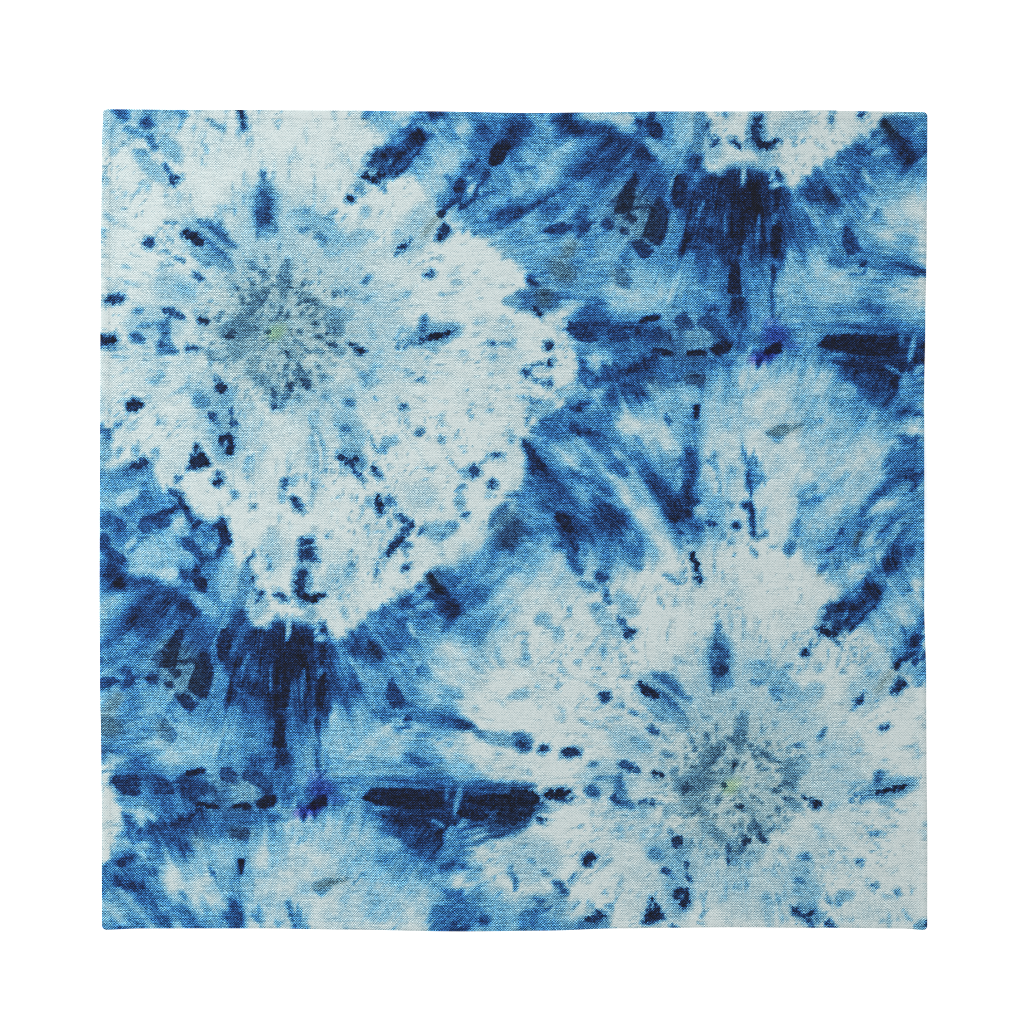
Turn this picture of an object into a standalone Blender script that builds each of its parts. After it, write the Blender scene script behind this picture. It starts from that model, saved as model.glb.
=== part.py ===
"""A square bandana of tie-dyed cotton, laid out flat with its printed face up.

It is one cut square of cloth. Its four sides are turned under twice and sewn, so the rim is
a narrow band three layers thick. The sides wander by a millimetre or two, and where a side is
drawn in, a soft ripple lifts the cloth off the surface and dies away towards the middle.
The underside is flat at z = 0 everywhere else. +X is to the right and +Y to the top.
"""

import math

import bmesh
import bpy

MM = 0.001

# Driving sizes, in metres
WIDTH = 0.559
DEPTH = 0.5545
CLOTH_THICKNESS = 0.0010
HEM_THICKNESS = 0.0019
FOLDED_EDGE_THICKNESS = 0.0012
HEM_WIDTH = 0.0055
HEM_SLOPE = 0.0012
CORNER_RADIUS = 0.0030

# Across the hem: distance in from the side, and the height of the face above the underside
HEM_SECTION = (
    (0.0, FOLDED_EDGE_THICKNESS),
    (0.0008, 0.94 * HEM_THICKNESS),
    (0.5 * HEM_WIDTH, HEM_THICKNESS),
    (HEM_WIDTH, 0.88 * HEM_THICKNESS),
    (HEM_WIDTH + HEM_SLOPE, CLOTH_THICKNESS),
)
FIELD_SPANS = 36

# How far each side lies outside a straight line: place along the side, and that distance, in mm
SIDE_WANDER = {
    "left": (
        (-277, -0.6), (-217, -0.5), (-163, -0.1), (-108, 0.8), (-54, 1.1),
        (0, 1.0), (109, 0.6), (190, 0.2), (244, -0.5), (277, -1.2),
    ),
    "right": (
        (-277, 1.0), (-217, 1.1), (-163, 0.5), (-108, 0.3), (-54, -1.1),
        (0, -1.2), (82, -1.1), (136, -0.3), (190, 0.6), (277, 1.1),
    ),
    "bottom": (
        (-279, 0.6), (-253, -0.3), (-172, -0.5), (-118, 0.4), (-36, 1.7), (18, 1.2),
        (72, -0.4), (154, -1.4), (208, -0.8), (262, -0.3), (279, 0.8),
    ),
    "top": (
        (-279, 1.2), (-226, 0.9), (-118, 0.4), (-63, -0.2), (18, -1.5), (45, -1.2),
        (99, -0.3), (154, -0.3), (208, 0.5), (235, -0.1), (279, -0.7),
    ),
}

# Soft ripples: foot on the cloth's side, heading inwards, run, half width at the foot, height
RIPPLES = (
    # foot x, foot y, heading deg, run, half width, height; lengths in mm
    (30, 277, -94, 150, 62, 2.0),
    (279, 8, 176, 165, 84, 2.3),
    (160, -277, 84, 135, 64, 2.0),
    (-178, -277, 97, 105, 46, 1.0),
    (-279, -238, 12, 110, 44, 1.1),
    (-279, 250, -14, 100, 40, 1.2),
)
RIPPLE_TAPER = 0.45

COTTON_BLUE = (0.18, 0.34, 0.47, 1.0)
COTTON_ROUGHNESS = 0.9


def clear_scene():
    for obj in list(bpy.data.objects):
        bpy.data.objects.remove(obj)


def smooth(share):
    """0 to 1 with level ends."""
    share = min(max(share, 0.0), 1.0)
    return share * share * (3 - 2 * share)


def wander(side, along):
    """How far a side lies outside its straight line at a place along it."""
    table = SIDE_WANDER[side]
    place = along / MM
    if place <= table[0][0]:
        return table[0][1] * MM
    for (start, before), (end, after) in zip(table, table[1:]):
        if place <= end:
            return (before + (after - before) * smooth((place - start) / (end - start))) * MM
    return table[-1][1] * MM


def grid_lines(length):
    """Places of the grid's lines along one direction: close over each hem, even between them."""
    hem = [inset for inset, _ in HEM_SECTION]
    field = length - 2 * hem[-1]
    low = [-length / 2 + inset for inset in hem]
    middle = [low[-1] + field * k / FIELD_SPANS for k in range(1, FIELD_SPANS)]
    return low + middle + [-place for place in reversed(low)]


def rounded(x, y):
    """The place of a point of the straight-sided sheet once its corners are rounded."""
    past_x = abs(x) - (WIDTH / 2 - CORNER_RADIUS)
    past_y = abs(y) - (DEPTH / 2 - CORNER_RADIUS)
    if past_x <= 0 or past_y <= 0:
        return x, y
    pull = max(past_x, past_y) / math.hypot(past_x, past_y)
    return (
        math.copysign(WIDTH / 2 - CORNER_RADIUS + past_x * pull, x),
        math.copysign(DEPTH / 2 - CORNER_RADIUS + past_y * pull, y),
    )


def laid_out(x, y):
    """The place of a point of the straight-sided sheet on the uneven cloth."""
    from_left = 0.5 + x / WIDTH
    from_bottom = 0.5 + y / DEPTH
    across = from_left * wander("right", y) - (1 - from_left) * wander("left", y)
    along = from_bottom * wander("top", x) - (1 - from_bottom) * wander("bottom", x)
    corner_x, corner_y = rounded(x, y)
    return corner_x + across, corner_y + along


def lift(x, y):
    """How high the underside stands off the surface."""
    height = 0.0
    for foot_x, foot_y, heading, run, half_width, top in RIPPLES:
        turn = math.radians(heading)
        dx = x - foot_x * MM
        dy = y - foot_y * MM
        ahead = (dx * math.cos(turn) + dy * math.sin(turn)) / (run * MM)
        aside = abs(dy * math.cos(turn) - dx * math.sin(turn))
        reach = half_width * MM * (1 - RIPPLE_TAPER * smooth(ahead))
        height += top * MM * smooth(1 - ahead) * smooth(1 - aside / reach)
    return height


def face_height(inset):
    """Height of the face above the underside, at a distance in from the nearest side."""
    for (start, before), (end, after) in zip(HEM_SECTION, HEM_SECTION[1:]):
        if inset <= end:
            return before + (after - before) * (inset - start) / (end - start)
    return CLOTH_THICKNESS


def dyed_cotton():
    material = bpy.data.materials.new("dyed_cotton")
    material.use_nodes = True
    shader = material.node_tree.nodes["Principled BSDF"]
    shader.inputs["Base Color"].default_value = COTTON_BLUE
    shader.inputs["Roughness"].default_value = COTTON_ROUGHNESS
    shader.inputs["Metallic"].default_value = 0.0
    return material


def bandana():
    columns = grid_lines(WIDTH)
    rows = grid_lines(DEPTH)
    spans_x = len(columns) - 1
    spans_y = len(rows) - 1
    sheet = bmesh.new()
    bmesh.ops.create_grid(sheet, x_segments=spans_x, y_segments=spans_y, size=0.5)

    thickness = {}
    for vert in sheet.verts:
        x = columns[round((vert.co.x + 0.5) * spans_x)]
        y = rows[round((vert.co.y + 0.5) * spans_y)]
        inset = min(WIDTH / 2 - abs(x), DEPTH / 2 - abs(y))
        vert.co.x, vert.co.y = laid_out(x, y)
        vert.co.z = lift(vert.co.x, vert.co.y)
        thickness[(vert.co.x, vert.co.y)] = face_height(inset)

    extruded = bmesh.ops.extrude_face_region(sheet, geom=sheet.faces[:])
    for vert in extruded["geom"]:
        if isinstance(vert, bmesh.types.BMVert):
            vert.co.z += thickness[(vert.co.x, vert.co.y)]
    bmesh.ops.recalc_face_normals(sheet, faces=sheet.faces[:])

    low_x = min(vert.co.x for vert in sheet.verts)
    high_x = max(vert.co.x for vert in sheet.verts)
    low_y = min(vert.co.y for vert in sheet.verts)
    high_y = max(vert.co.y for vert in sheet.verts)
    bmesh.ops.translate(
        sheet, verts=sheet.verts[:], vec=(-(low_x + high_x) / 2, -(low_y + high_y) / 2, 0)
    )

    mesh = bpy.data.meshes.new("bandana_cloth")
    sheet.to_mesh(mesh)
    sheet.free()
    mesh.shade_smooth()
    mesh.set_sharp_from_angle(angle=math.radians(40))
    mesh.materials.append(dyed_cotton())
    cloth = bpy.data.objects.new("bandana_cloth", mesh)
    bpy.context.scene.collection.objects.link(cloth)
    return cloth


clear_scene()
bandana()
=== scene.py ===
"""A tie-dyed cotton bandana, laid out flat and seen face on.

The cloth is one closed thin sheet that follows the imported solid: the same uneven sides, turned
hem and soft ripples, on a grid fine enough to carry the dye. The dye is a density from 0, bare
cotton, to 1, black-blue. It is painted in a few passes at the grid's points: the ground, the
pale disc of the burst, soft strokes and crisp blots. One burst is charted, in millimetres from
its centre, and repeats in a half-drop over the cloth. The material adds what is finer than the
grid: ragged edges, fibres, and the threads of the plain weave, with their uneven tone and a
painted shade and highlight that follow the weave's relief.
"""

import math

import bpy
import numpy as np
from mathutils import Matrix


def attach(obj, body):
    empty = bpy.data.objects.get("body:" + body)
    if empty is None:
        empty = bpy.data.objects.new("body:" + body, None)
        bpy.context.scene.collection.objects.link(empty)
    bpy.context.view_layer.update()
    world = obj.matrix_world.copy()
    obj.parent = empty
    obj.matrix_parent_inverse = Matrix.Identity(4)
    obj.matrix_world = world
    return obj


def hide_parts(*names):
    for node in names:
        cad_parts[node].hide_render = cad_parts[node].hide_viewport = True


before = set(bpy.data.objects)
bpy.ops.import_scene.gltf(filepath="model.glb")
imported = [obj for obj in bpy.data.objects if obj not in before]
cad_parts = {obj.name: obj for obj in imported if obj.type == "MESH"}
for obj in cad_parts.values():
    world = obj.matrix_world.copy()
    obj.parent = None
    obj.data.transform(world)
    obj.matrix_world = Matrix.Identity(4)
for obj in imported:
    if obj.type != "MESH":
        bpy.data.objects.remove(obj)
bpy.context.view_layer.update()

MM = 0.001

# The cloth's sizes, in metres, as its solid has them
WIDTH = 0.559
DEPTH = 0.5545
CORNER_RADIUS = 0.0030
CLOTH_THICKNESS = 0.0006

# Across the hem, in mm: distance in from the side, and height of the face above the underside
HEM_SECTION = (
    (0.0, 0.45), (0.25, 0.95), (0.7, 1.32), (1.5, 1.5), (2.8, 1.55),
    (4.1, 1.45), (4.9, 1.15), (5.4, 1.3), (6.0, 0.8), (6.8, 0.6),
)
FIELD_SPANS = 286
UNDERSIDE_STEP = 16

# How far each side lies outside a straight line: place along the side, and that distance, in mm
SIDE_WANDER = {
    "left": (
        (-277, -0.6), (-217, -0.5), (-163, -0.1), (-108, 0.8), (-54, 1.1),
        (0, 1.0), (109, 0.6), (190, 0.2), (244, -0.5), (277, -1.2),
    ),
    "right": (
        (-277, 1.0), (-217, 1.1), (-163, 0.5), (-108, 0.3), (-54, -1.1),
        (0, -1.2), (82, -1.1), (136, -0.3), (190, 0.6), (277, 1.1),
    ),
    "bottom": (
        (-279, 0.6), (-253, -0.3), (-172, -0.5), (-118, 0.4), (-36, 1.7), (18, 1.2),
        (72, -0.4), (154, -1.4), (208, -0.8), (262, -0.3), (279, 0.8),
    ),
    "top": (
        (-279, 1.2), (-226, 0.9), (-118, 0.4), (-63, -0.2), (18, -1.5), (45, -1.2),
        (99, -0.3), (154, -0.3), (208, 0.5), (235, -0.1), (279, -0.7),
    ),
}

# Soft ripples: foot on the cloth's side, heading inwards, run, half width at the foot, height
RIPPLES = (
    # foot x, foot y, heading deg, run, half width, height; lengths in mm
    (30, 277, -94, 150, 62, 2.0),
    (279, 8, 176, 165, 84, 2.3),
    (160, -277, 84, 135, 64, 2.0),
    (-178, -277, 97, 105, 46, 1.0),
    (-279, -238, 12, 110, 44, 1.1),
    (-279, 250, -14, 100, 40, 1.2),
)
RIPPLE_TAPER = 0.45

# The photograph's frame: 1024 pixels across, and where the cloth's middle and a burst lie in it
FRAME_PX = 1024
MM_PER_PX = 0.678
CLOTH_MIDDLE_PX = (513.4, 520.3)
BURST_PX = (278.0, 330.0)
# Half-drop repeat, in mm: from one burst to the next, across and down
REPEAT_ACROSS = 308.5
REPEAT_DOWN = 307.5
# A burst's streaks reach furthest upwards, then downwards, and along its own row
UPWARD_REACH = 0.12
SIDEWAYS_COST = 1.35
ROW_REACH = 45.0
ROW_HALF_HEIGHT = 22.0
# Above and below its disc, a burst's streaks fan out from a place this far from its centre
FAN_OFFSET = 110.0
FAN_START = 70.0

# The dye, charted in mm from a burst's centre, X to the right and Y up.
BLUE_GROUND = 0.47
# The pale disc's dye at distances from the burst's centre
DISC_RADII = (0, 10, 36, 52, 66, 84, 110, 150)
DISC_TONES = (0.27, 0.20, 0.18, 0.12, 0.14, 0.10, 0.045, 0.05)

# Edge of the burst's pale disc: direction in degrees, radius, and how softly it ends
DISC_EDGE = (
    (0, 197, 4), (7, 196, 5), (12, 172, 6), (18, 168, 8), (22, 161, 8), (27, 146, 8),
    (32, 138, 6), (43, 138, 6), (50, 137, 6), (56, 130, 8), (62, 150, 12), (75, 166, 14),
    (90, 168, 14), (105, 162, 12), (115, 160, 14), (125, 172, 20), (136, 184, 26),
    (146, 190, 24), (158, 190, 16), (170, 188, 8), (177, 172, 8), (182, 158, 8),
    (187, 166, 8), (194, 186, 6),
    (206, 178, 10), (214, 158, 10), (221, 148, 8), (229, 131, 6), (236, 131, 4),
    (242, 133, 4), (248, 138, 4), (253, 133, 3), (257, 143, 5), (259, 160, 10),
    (261.5, 190, 6), (263.5, 196, 3), (267, 208, 3), (269, 199, 3), (270.5, 199, 3),
    (271.8, 210, 3), (273.2, 201, 3), (278, 202, 3), (281, 216, 4), (284, 208, 3),
    (288, 203, 3), (293, 200, 4), (299, 199, 6), (305, 199, 8), (313, 200, 9),
    (321, 199, 8), (326, 198, 6), (331, 190, 5), (336, 184, 5), (341, 188, 4),
    (345, 200, 4), (350, 204, 4), (353, 206, 4), (356, 200, 4), (360, 197, 4),
)

# Broad soft areas outside the disc: centre x, y, length, width, heading in degrees, dye
GROUND = (
    (7, -228, 84, 60, 90, 0.79), (-27, -232, 60, 34, 90, 0.82), (43, -235, 52, 26, -58, 0.67),
    (2, -292, 56, 22, 90, 0.64), (-82, -190, 66, 26, 32, 0.66), (-112, -165, 34, 20, -30, 0.78),
    (78, -208, 36, 22, -50, 0.60), (108, -184, 46, 32, 0, 0.70), (139, -192, 44, 20, 45, 0.60),
    (106, -262, 66, 15, -13, 0.58), (-76, -307, 84, 20, -12, 0.72), (88, -316, 66, 9, -4, 0.58),
    (-116, 187, 96, 20, -56, 0.68), (-47, 195, 54, 16, -50, 0.72), (-84, 180, 32, 20, -40, 0.68),
    (-78, 271, 58, 24, 16, 0.62), (-124, 162, 44, 18, -40, 0.67), (-152, 170, 30, 22, 70, 0.66),
    (108, 203, 64, 14, 48, 0.57), (113, 156, 36, 26, 40, 0.60), (122, 229, 26, 9, -15, 0.54),
    (-98, 236, 46, 12, -28, 0.68), (-100, 206, 32, 10, -20, 0.60), (90, 132, 80, 22, 52, 0.66),
    (-80, -150, 44, 28, 20, 0.26), (-114, -112, 34, 18, 10, 0.30), (62, 226, 70, 26, 82, 0.24), (66, 186, 54, 22, 56, 0.24), (76, 136, 26, 14, 40, 0.28),
    (-12, 232, 80, 18, 90, 0.17), (46, 270, 50, 24, 0, 0.22), (-124, 146, 64, 34, 20, 0.27),
    (-140, 122, 40, 40, 0, 0.20), (20, 215, 130, 70, 90, 0.13), (-62, 188, 88, 15, -62, 0.12), (-60, 242, 52, 22, -20, 0.14),
    (92, 222, 50, 40, 20, 0.19), (102, 187, 22, 11, 40, 0.18), (98, 167, 18, 13, 60, 0.16),
    (88, 149, 26, 11, 20, 0.15), (85, 199, 28, 12, 42, 0.18), (123, 240, 15, 13, 0, 0.08),
    (-92, 222, 42, 8, -42, 0.30), (-113, 222, 24, 10, -50, 0.27), (-72, 204, 30, 8, -45, 0.26),
    (117, -231, 48, 38, 30, 0.15), (91, -203, 13, 4, -62, 0.25), (101, -211, 15, 6, -50, 0.30),
    (124, -283, 44, 24, 0, 0.14), (134, -250, 36, 24, -20, 0.20), (60, -274, 62, 38, 0, 0.23), (-58, -279, 60, 32, 20, 0.23),
    (-115, -291, 28, 11, 0, 0.20), (-120, -188, 42, 11, 35, 0.33), (-144, -207, 27, 13, 20, 0.22),
    (-128, -203, 22, 10, 40, 0.28), (-84, -252, 32, 14, 30, 0.30), (-126, -250, 26, 10, 40, 0.40),
    (-140, -254, 16, 22, 0, 0.42), (-62, -212, 22, 16, 60, 0.40), (12, 285, 26, 20, 0, 0.14),
    (120, 106, 62, 52, 50, 0.24), (104, 137, 16, 13, 60, 0.28), (128, 137, 17, 13, 20, 0.14),
    (52, -228, 18, 4, -55, 0.32), (146, 75, 34, 16, -10, 0.48), (150, 136, 40, 20, 20, 0.66),
    (125, 146, 34, 8, 0, 0.50), (152, 104, 22, 26, 0, 0.52), (130, 97, 15, 7, 58, 0.14),
    (-92, 287, 22, 11, -10, 0.20), (-182, 12, 40, 14, 0, 0.3), (-99, 262, 18, 8, -14, 0.26), (-122, 246, 36, 14, -10, 0.66), (-42, 256, 44, 22, 10, 0.28),
)

# Soft strokes and smears, over the ground and the disc alike
STROKES = (
    (30, 301, 14, 9, 12, 0.54), (21, 289, 9, 4, 30, 0.66),
    (-64, -234, 34, 16, -55, 0.5), (-4, -272, 30, 16, 88, 0.6),
    (-66, -214, 26, 14, -60, 0.56), (-116, 164, 16, 8, 40, 0.72), (-75, 271, 22, 9, 0, 0.6),
    (-14, -207, 12, 10, 0, 0.84), (-122, 236, 12, 10, 0, 0.66), (-142, -258, 14, 8, 0, 0.46),
    (-62, -214, 22, 10, -50, 0.6), (-84, -250, 24, 16, 0, 0.38), (-55, -272, 40, 18, 0, 0.3),
    (120, -174, 44, 20, -20, 0.62),
    (-181, -13, 92, 18, 0, 0.84), (-168, -27, 46, 14, 8, 0.74), (-205, 2, 30, 12, 6, 0.62),
    (-139, -14, 26, 12, -6, 0.66), (-236, -10, 30, 6, 4, 0.6),
    # upper left of the burst
    (-48, 60, 46, 22, -38, 0.26), (-44, 56, 20, 6, -48, 0.58), (-43, 69, 20, 7, -30, 0.6),
    (-37, 60, 10, 3, -28, 0.5), (-49, 44, 9, 3, 12, 0.5), (-76, 53, 7, 3, -20, 0.45),
    (-67, 48, 9, 3, -35, 0.64), (-73, 73, 8, 2.4, -10, 0.5), (-47, 31, 6, 2.4, -40, 0.4),
    (-94, 13, 8, 6, 20, 0.52), (-84, 4, 22, 4.5, 6, 0.52), (-77, 0, 9, 8, 60, 0.62),
    (-95, -5, 12, 8, -35, 0.66), (-75, -6, 9, 6, -60, 0.52), (-75, -13, 16, 7, -12, 0.62),
    (-50, -13, 6, 2, 0, 0.5), (-44, -15, 4, 2.5, 0, 0.4), (-86, 110, 34, 11, -42, 0.27),
    (-95, 94, 18, 3, 50, 0.27), (-105, 83, 4, 3, 0, 0.34), (-118, 100, 8, 10, 0, 0.25),
    (-115, 76, 8, 4, -40, 0.27), (-70, 28, 30, 22, -15, 0.22), (-63, 27, 16, 6, -28, 0.36),
    (-36, 83, 12, 5, -10, 0.24), (-26, 93, 8, 4, 0, 0.2), (-67, 91, 8, 4, -30, 0.22),
    (-9, 82, 40, 20, 90, 0.44), (-11, 99, 14, 2, 90, 0.5), (-4, 70, 12, 7, -50, 0.5),
    (-13, 67, 12, 3, 85, 0.58), (-83, 5, 44, 24, 0, 0.2), (-8, 55, 70, 50, 90, 0.2),
    # upper right
    (19, 81, 6, 6, 0, 0.48), (17, 69, 11, 4, 0, 0.56), (11, 80, 10, 5, 60, 0.26),
    (37, 79, 8, 4, 30, 0.44), (35, 74, 10, 4, -20, 0.42), (45, 77, 6, 2, 45, 0.36),
    (30, 63, 12, 7, -15, 0.5), (31, 57, 6, 5, -60, 0.46), (37, 52, 14, 6, 10, 0.3),
    (60, 34, 9, 4, 45, 0.56), (28, 42, 60, 40, 20, 0.17), (53, 95, 8, 2.4, 60, 0.58),
    (98, 4, 13, 7, 68, 0.58), (106, -3, 40, 15, 12, 0.42), (81, -4, 8, 3, 60, 0.42),
    (84, 0, 14, 4, 10, 0.3), (103, -12, 14, 5, -25, 0.35), (68, -15, 10, 4, 30, 0.27),
    (106, 88, 5, 3, 0, 0.5), (116, 103, 9, 5, -30, 0.62), (127, 68, 6, 3.5, 50, 0.48),
    (133, 66, 7, 3, 70, 0.56), (146, 76, 11, 4, -50, 0.66), (151, 75, 16, 9, -12, 0.66),
    (157, 79, 12, 9, 0, 0.78), (137, 82, 16, 9, 10, 0.46), (143, 92, 15, 5, 15, 0.64),
    (122, 91, 16, 8, 55, 0.66), (119, 133, 4, 9, 0, 0.5), (120, 131, 5, 4, 0, 0.72),
    (133, 113, 13, 4.5, 62, 0.8), (140, 135, 12, 8, -60, 0.76), (155, 50, 9, 4, 0, 0.4),
    (137, 97, 16, 4, 62, 0.74), (153, 58, 20, 8, 0, 0.34),
    # lower left
    (-52, -48, 14, 8, -20, 0.5), (-49, -47, 24, 13, -20, 0.27), (-42, -62, 11, 5, -62, 0.52),
    (-44, -70, 7, 2.5, -50, 0.46), (-35, -77, 20, 17, 80, 0.42), (-20, -88, 8, 2.5, 45, 0.4),
    (-23, -94, 4, 3, 0, 0.3), (-29, -111, 8, 5, -50, 0.48), (-33, -117, 5, 2, 60, 0.32),
    (-118, -80, 20, 9, 90, 0.36), (-117, -70, 13, 4.5, -60, 0.56), (-103, -100, 40, 18, 25, 0.44),
    (-97, -95, 22, 9, 22, 0.62), (-87, -101, 13, 4, 80, 0.5), (-83, -84, 7, 5, -60, 0.42),
    (-97, -83, 8, 3, -75, 0.42), (-107, -83, 9, 3, 60, 0.38), (-83, -118, 20, 14, 20, 0.55),
    (-101, -121, 8, 6, -40, 0.66), (-78, -151, 34, 22, 10, 0.3), (-68, -131, 12, 10, 40, 0.18),
    (-47, -146, 9, 7, 0, 0.26), (-23, -172, 30, 10, 86, 0.5), (-90, -163, 22, 6, 0, 0.26),
    (-92, -140, 16, 6, 40, 0.5), (-98, -148, 9, 4, 45, 0.6), (-66, -142, 8, 5, -40, 0.62),
    (-40, -176, 26, 22, 80, 0.28), (-43, -175, 5, 5, 0, 0.52), (-37, -174, 4, 10, -30, 0.5),
    (-40, -181, 6, 4, 0, 0.52), (-25, -194, 14, 9, 90, 0.78), (-28, -184, 8, 3, 90, 0.6),
    (-34, -46, 16, 9, 70, 0.4), (-4, -139, 5, 14, 0, 0.24), (-14, -178, 15, 4, -45, 0.58),
    (-6, -162, 6, 4, 50, 0.5), (-19, -156, 9, 3, 50, 0.68), (-6, -157, 9, 3, -60, 0.5),
    # lower right
    (10, -46, 26, 14, 0, 0.26), (13, -47, 7, 4, 20, 0.42), (2, -52, 6, 7, 0, 0.46),
    (49, -50, 8, 6, 0, 0.56), (48, -66, 30, 18, -65, 0.27), (46, -67, 8, 5, -20, 0.58),
    (43, -72, 6, 3, -30, 0.48), (52, -77, 17, 15, 0, 0.3), (51, -88, 22, 14, -30, 0.44),
    (75, -76, 14, 9, 20, 0.33), (72, -81, 6, 4, 20, 0.48), (104, -94, 9, 3, 10, 0.25),
    (11, -103, 5, 8, 0, 0.34), (3, -113, 6, 9, 0, 0.36), (24, -94, 34, 5, -76, 0.22),
    (24, -105, 8, 3, -70, 0.48), (60, -133, 4, 3, 0, 0.42), (75, -131, 9, 2.5, -75, 0.46),
    (63, -117, 6, 7, 0, 0.38), (75, -117, 7, 7, 0, 0.6), (87, -146, 8, 6, 0, 0.64),
    (86, -151, 7, 3, -60, 0.46), (97, -136, 8, 5, 60, 0.62), (112, -140, 8, 5, 60, 0.54),
    (109, -136, 24, 12, 0, 0.33), (118, -132, 9, 5, 0, 0.52), (98, -112, 20, 18, 0, 0.16),
    (88, -158, 8, 2.5, 30, 0.5), (16, -173, 30, 14, 90, 0.5), (41, -181, 5, 3, -50, 0.38),
    (48, -180, 3, 2, 0, 0.36), (131, -97, 15, 10, 0, 0.36), (138, -90, 10, 2.5, 55, 0.4),
    (126, -96, 7, 3, 0, 0.46), (124, -108, 10, 3.5, 35, 0.56), (124, -117, 12, 7, 90, 0.38),
    (127, -125, 7, 3, 30, 0.66), (153, -10, 13, 2, -5, 0.5), (118, -90, 10, 2, -50, 0.42),
    (145, -20, 5, 4, 0, 0.26), (144, -30, 5, 3, 0, 0.28), (122, -73, 5, 3, -60, 0.34),
    (150, -126, 22, 9, 55, 0.6), (158, -73, 12, 5, 90, 0.34), (180, -53, 20, 11, 24, 0.34),
    (-14, -186, 14, 20, 0, 0.26), (22, -192, 10, 9, 0, 0.30), (-4, -150, 18, 30, 0, 0.2),
    (-27, 0, 28, 15, 10, 0.54), (-27, -13, 16, 11, -30, 0.44), (-14, 19, 24, 9, 56, 0.54),
    (5, 34, 30, 9, 84, 0.52), (39, 5, 22, 12, -80, 0.48), (41, -14, 13, 7, -20, 0.44),
    (24, 19, 24, 6, -36, 0.46), (-13, -33, 24, 9, -38, 0.42), (-2, -45, 18, 9, 88, 0.44),
    (18, -33, 18, 9, -55, 0.46), (9, -14, 22, 6, -60, 0.36), (-8, 4, 16, 7, 20, 0.36),
    (-38, -16, 18, 7, 10, 0.3), (46, 10, 14, 8, 30, 0.36), (-48, 56, 38, 20, -36, 0.30), (-41, 65, 34, 4, -36, 0.66), (-44, 57, 30, 2.6, -42, 0.7), (-37, 51, 18, 2.4, -46, 0.62), (-52, 48, 20, 2.2, -30, 0.5),
    (-40, 48, 26, 10, -38, 0.42), (-86, 2, 34, 16, 8, 0.22), (-78, -1, 22, 4, 75, 0.6),
    (-10, 82, 26, 11, 90, 0.74), (126, 103, 58, 12, 50, 0.56), (142, 120, 54, 20, 54, 0.62),
    (118, 88, 26, 8, 30, 0.58), (30, 70, 44, 14, -34, 0.32), (54, 62, 20, 12, 30, 0.26),
    (40, -168, 30, 16, 30, 0.2), (-138, -52, 44, 34, 0, 0.2), (-38, -66, 20, 52, 0, 0.32),
    (96, 70, 50, 26, 50, 0.2), (-72, 122, 22, 12, -50, 0.3), (62, 0, 60, 30, 0, 0.17),
    (-132, -287, 36, 18, 0, 0.66), (-39, -259, 46, 22, 0, 0.5), (8, -214, 34, 40, 90, 0.87),
    (30, 303, 20, 13, 0, 0.68), (21, 291, 21, 10, 14, 0.76), (38, 297, 22, 5, 3, 0.62), (94, 286, 64, 30, -10, 0.72),
    (93, 268, 40, 20, -28, 0.74), (-62, 296, 60, 20, -6, 0.6), (-44, 278, 60, 12, 4, 0.62),
    # below the burst
    (-74, -182, 18, 9, 28, 0.8), (-60, -189, 19, 11, -42, 0.86), (-80, -189, 17, 9, 40, 0.8),
    (-93, -197, 30, 9, 33, 0.77), (-94, -173, 22, 8, -8, 0.76), (-104, -203, 14, 6, 20, 0.6),
    (-60, -166, 12, 6, -20, 0.82), (-90, -215, 40, 18, 30, 0.5), (-101, -236, 16, 7, 90, 0.76),
    (-117, -239, 17, 7, 10, 0.9), (-97, -252, 12, 6, -70, 0.58), (-104, -264, 7, 5, 70, 0.6),
    (-71, -262, 10, 3, -50, 0.54), (-56, -207, 34, 18, -50, 0.72),
    (34, -250, 26, 10, 84, 0.8), (-18, -240, 18, 11, 0, 0.84), (-14, -248, 12, 8, -20, 0.84),
    (-22, -225, 16, 4, 60, 0.5), (-5, -238, 18, 3, 90, 0.42), (-14, -292, 12, 10, 0, 0.76),
    (-106, -286, 26, 3, -8, 0.62), (-89, -289, 7, 5, 0, 0.68), (-93, -295, 12, 6, -50, 0.66),
    (-133, -222, 28, 4.5, 28, 0.8), (-118, -213, 12, 7, 30, 0.72), (-148, -229, 18, 7, 15, 0.82),
    (-125, -226, 16, 6, 10, 0.7), (-122, -234, 7, 3, 90, 0.66), (-142, -199, 12, 3, 10, 0.66),
    (-136, -204, 9, 3, -70, 0.48), (-135, -274, 10, 9, 60, 0.84), (-129, -281, 7, 5, 60, 0.64),
    (-139, -265, 3.5, 3, 0, 0.7), (-143, -282, 14, 3, 5, 0.56), (-135, -248, 6, 3, -60, 0.46),
    (-130, -250, 9, 5, -30, 0.36), (-116, -164, 18, 8, 35, 0.84), (-148, -176, 28, 14, 60, 0.8),
    (35, -226, 24, 9, 80, 0.78), (23, -227, 8, 5, 60, 0.6), (46, -262, 12, 6, 0, 0.42),
    (54, -207, 16, 8, 30, 0.7), (53, -215, 20, 13, -50, 0.78), (66, -219, 16, 9, -60, 0.86),
    (66, -228, 8, 7, 0, 0.66), (70, -192, 6, 5, 0, 0.74), (85, -186, 14, 8, 10, 0.74),
    (96, -175, 9, 6, -20, 0.76), (84, -199, 12, 8, 0, 0.7), (79, -210, 14, 10, -60, 0.66),
    (104, -169, 12, 8, -55, 0.86), (111, -176, 9, 6, -60, 0.9), (118, -189, 15, 10, 0, 0.88),
    (86, -269, 8, 4, 50, 0.72), (102, -275, 9, 3, 0, 0.56), (111, -279, 10, 2.5, -30, 0.46),
    (95, -293, 20, 7, -30, 0.68), (115, -265, 26, 7, -12, 0.68), (126, -269, 12, 4, -20, 0.78),
    (112, -292, 9, 3, 10, 0.46), (27, -284, 44, 3, 90, 0.74), (27, -296, 14, 2, 90, 0.56),
    # between the bursts
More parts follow.
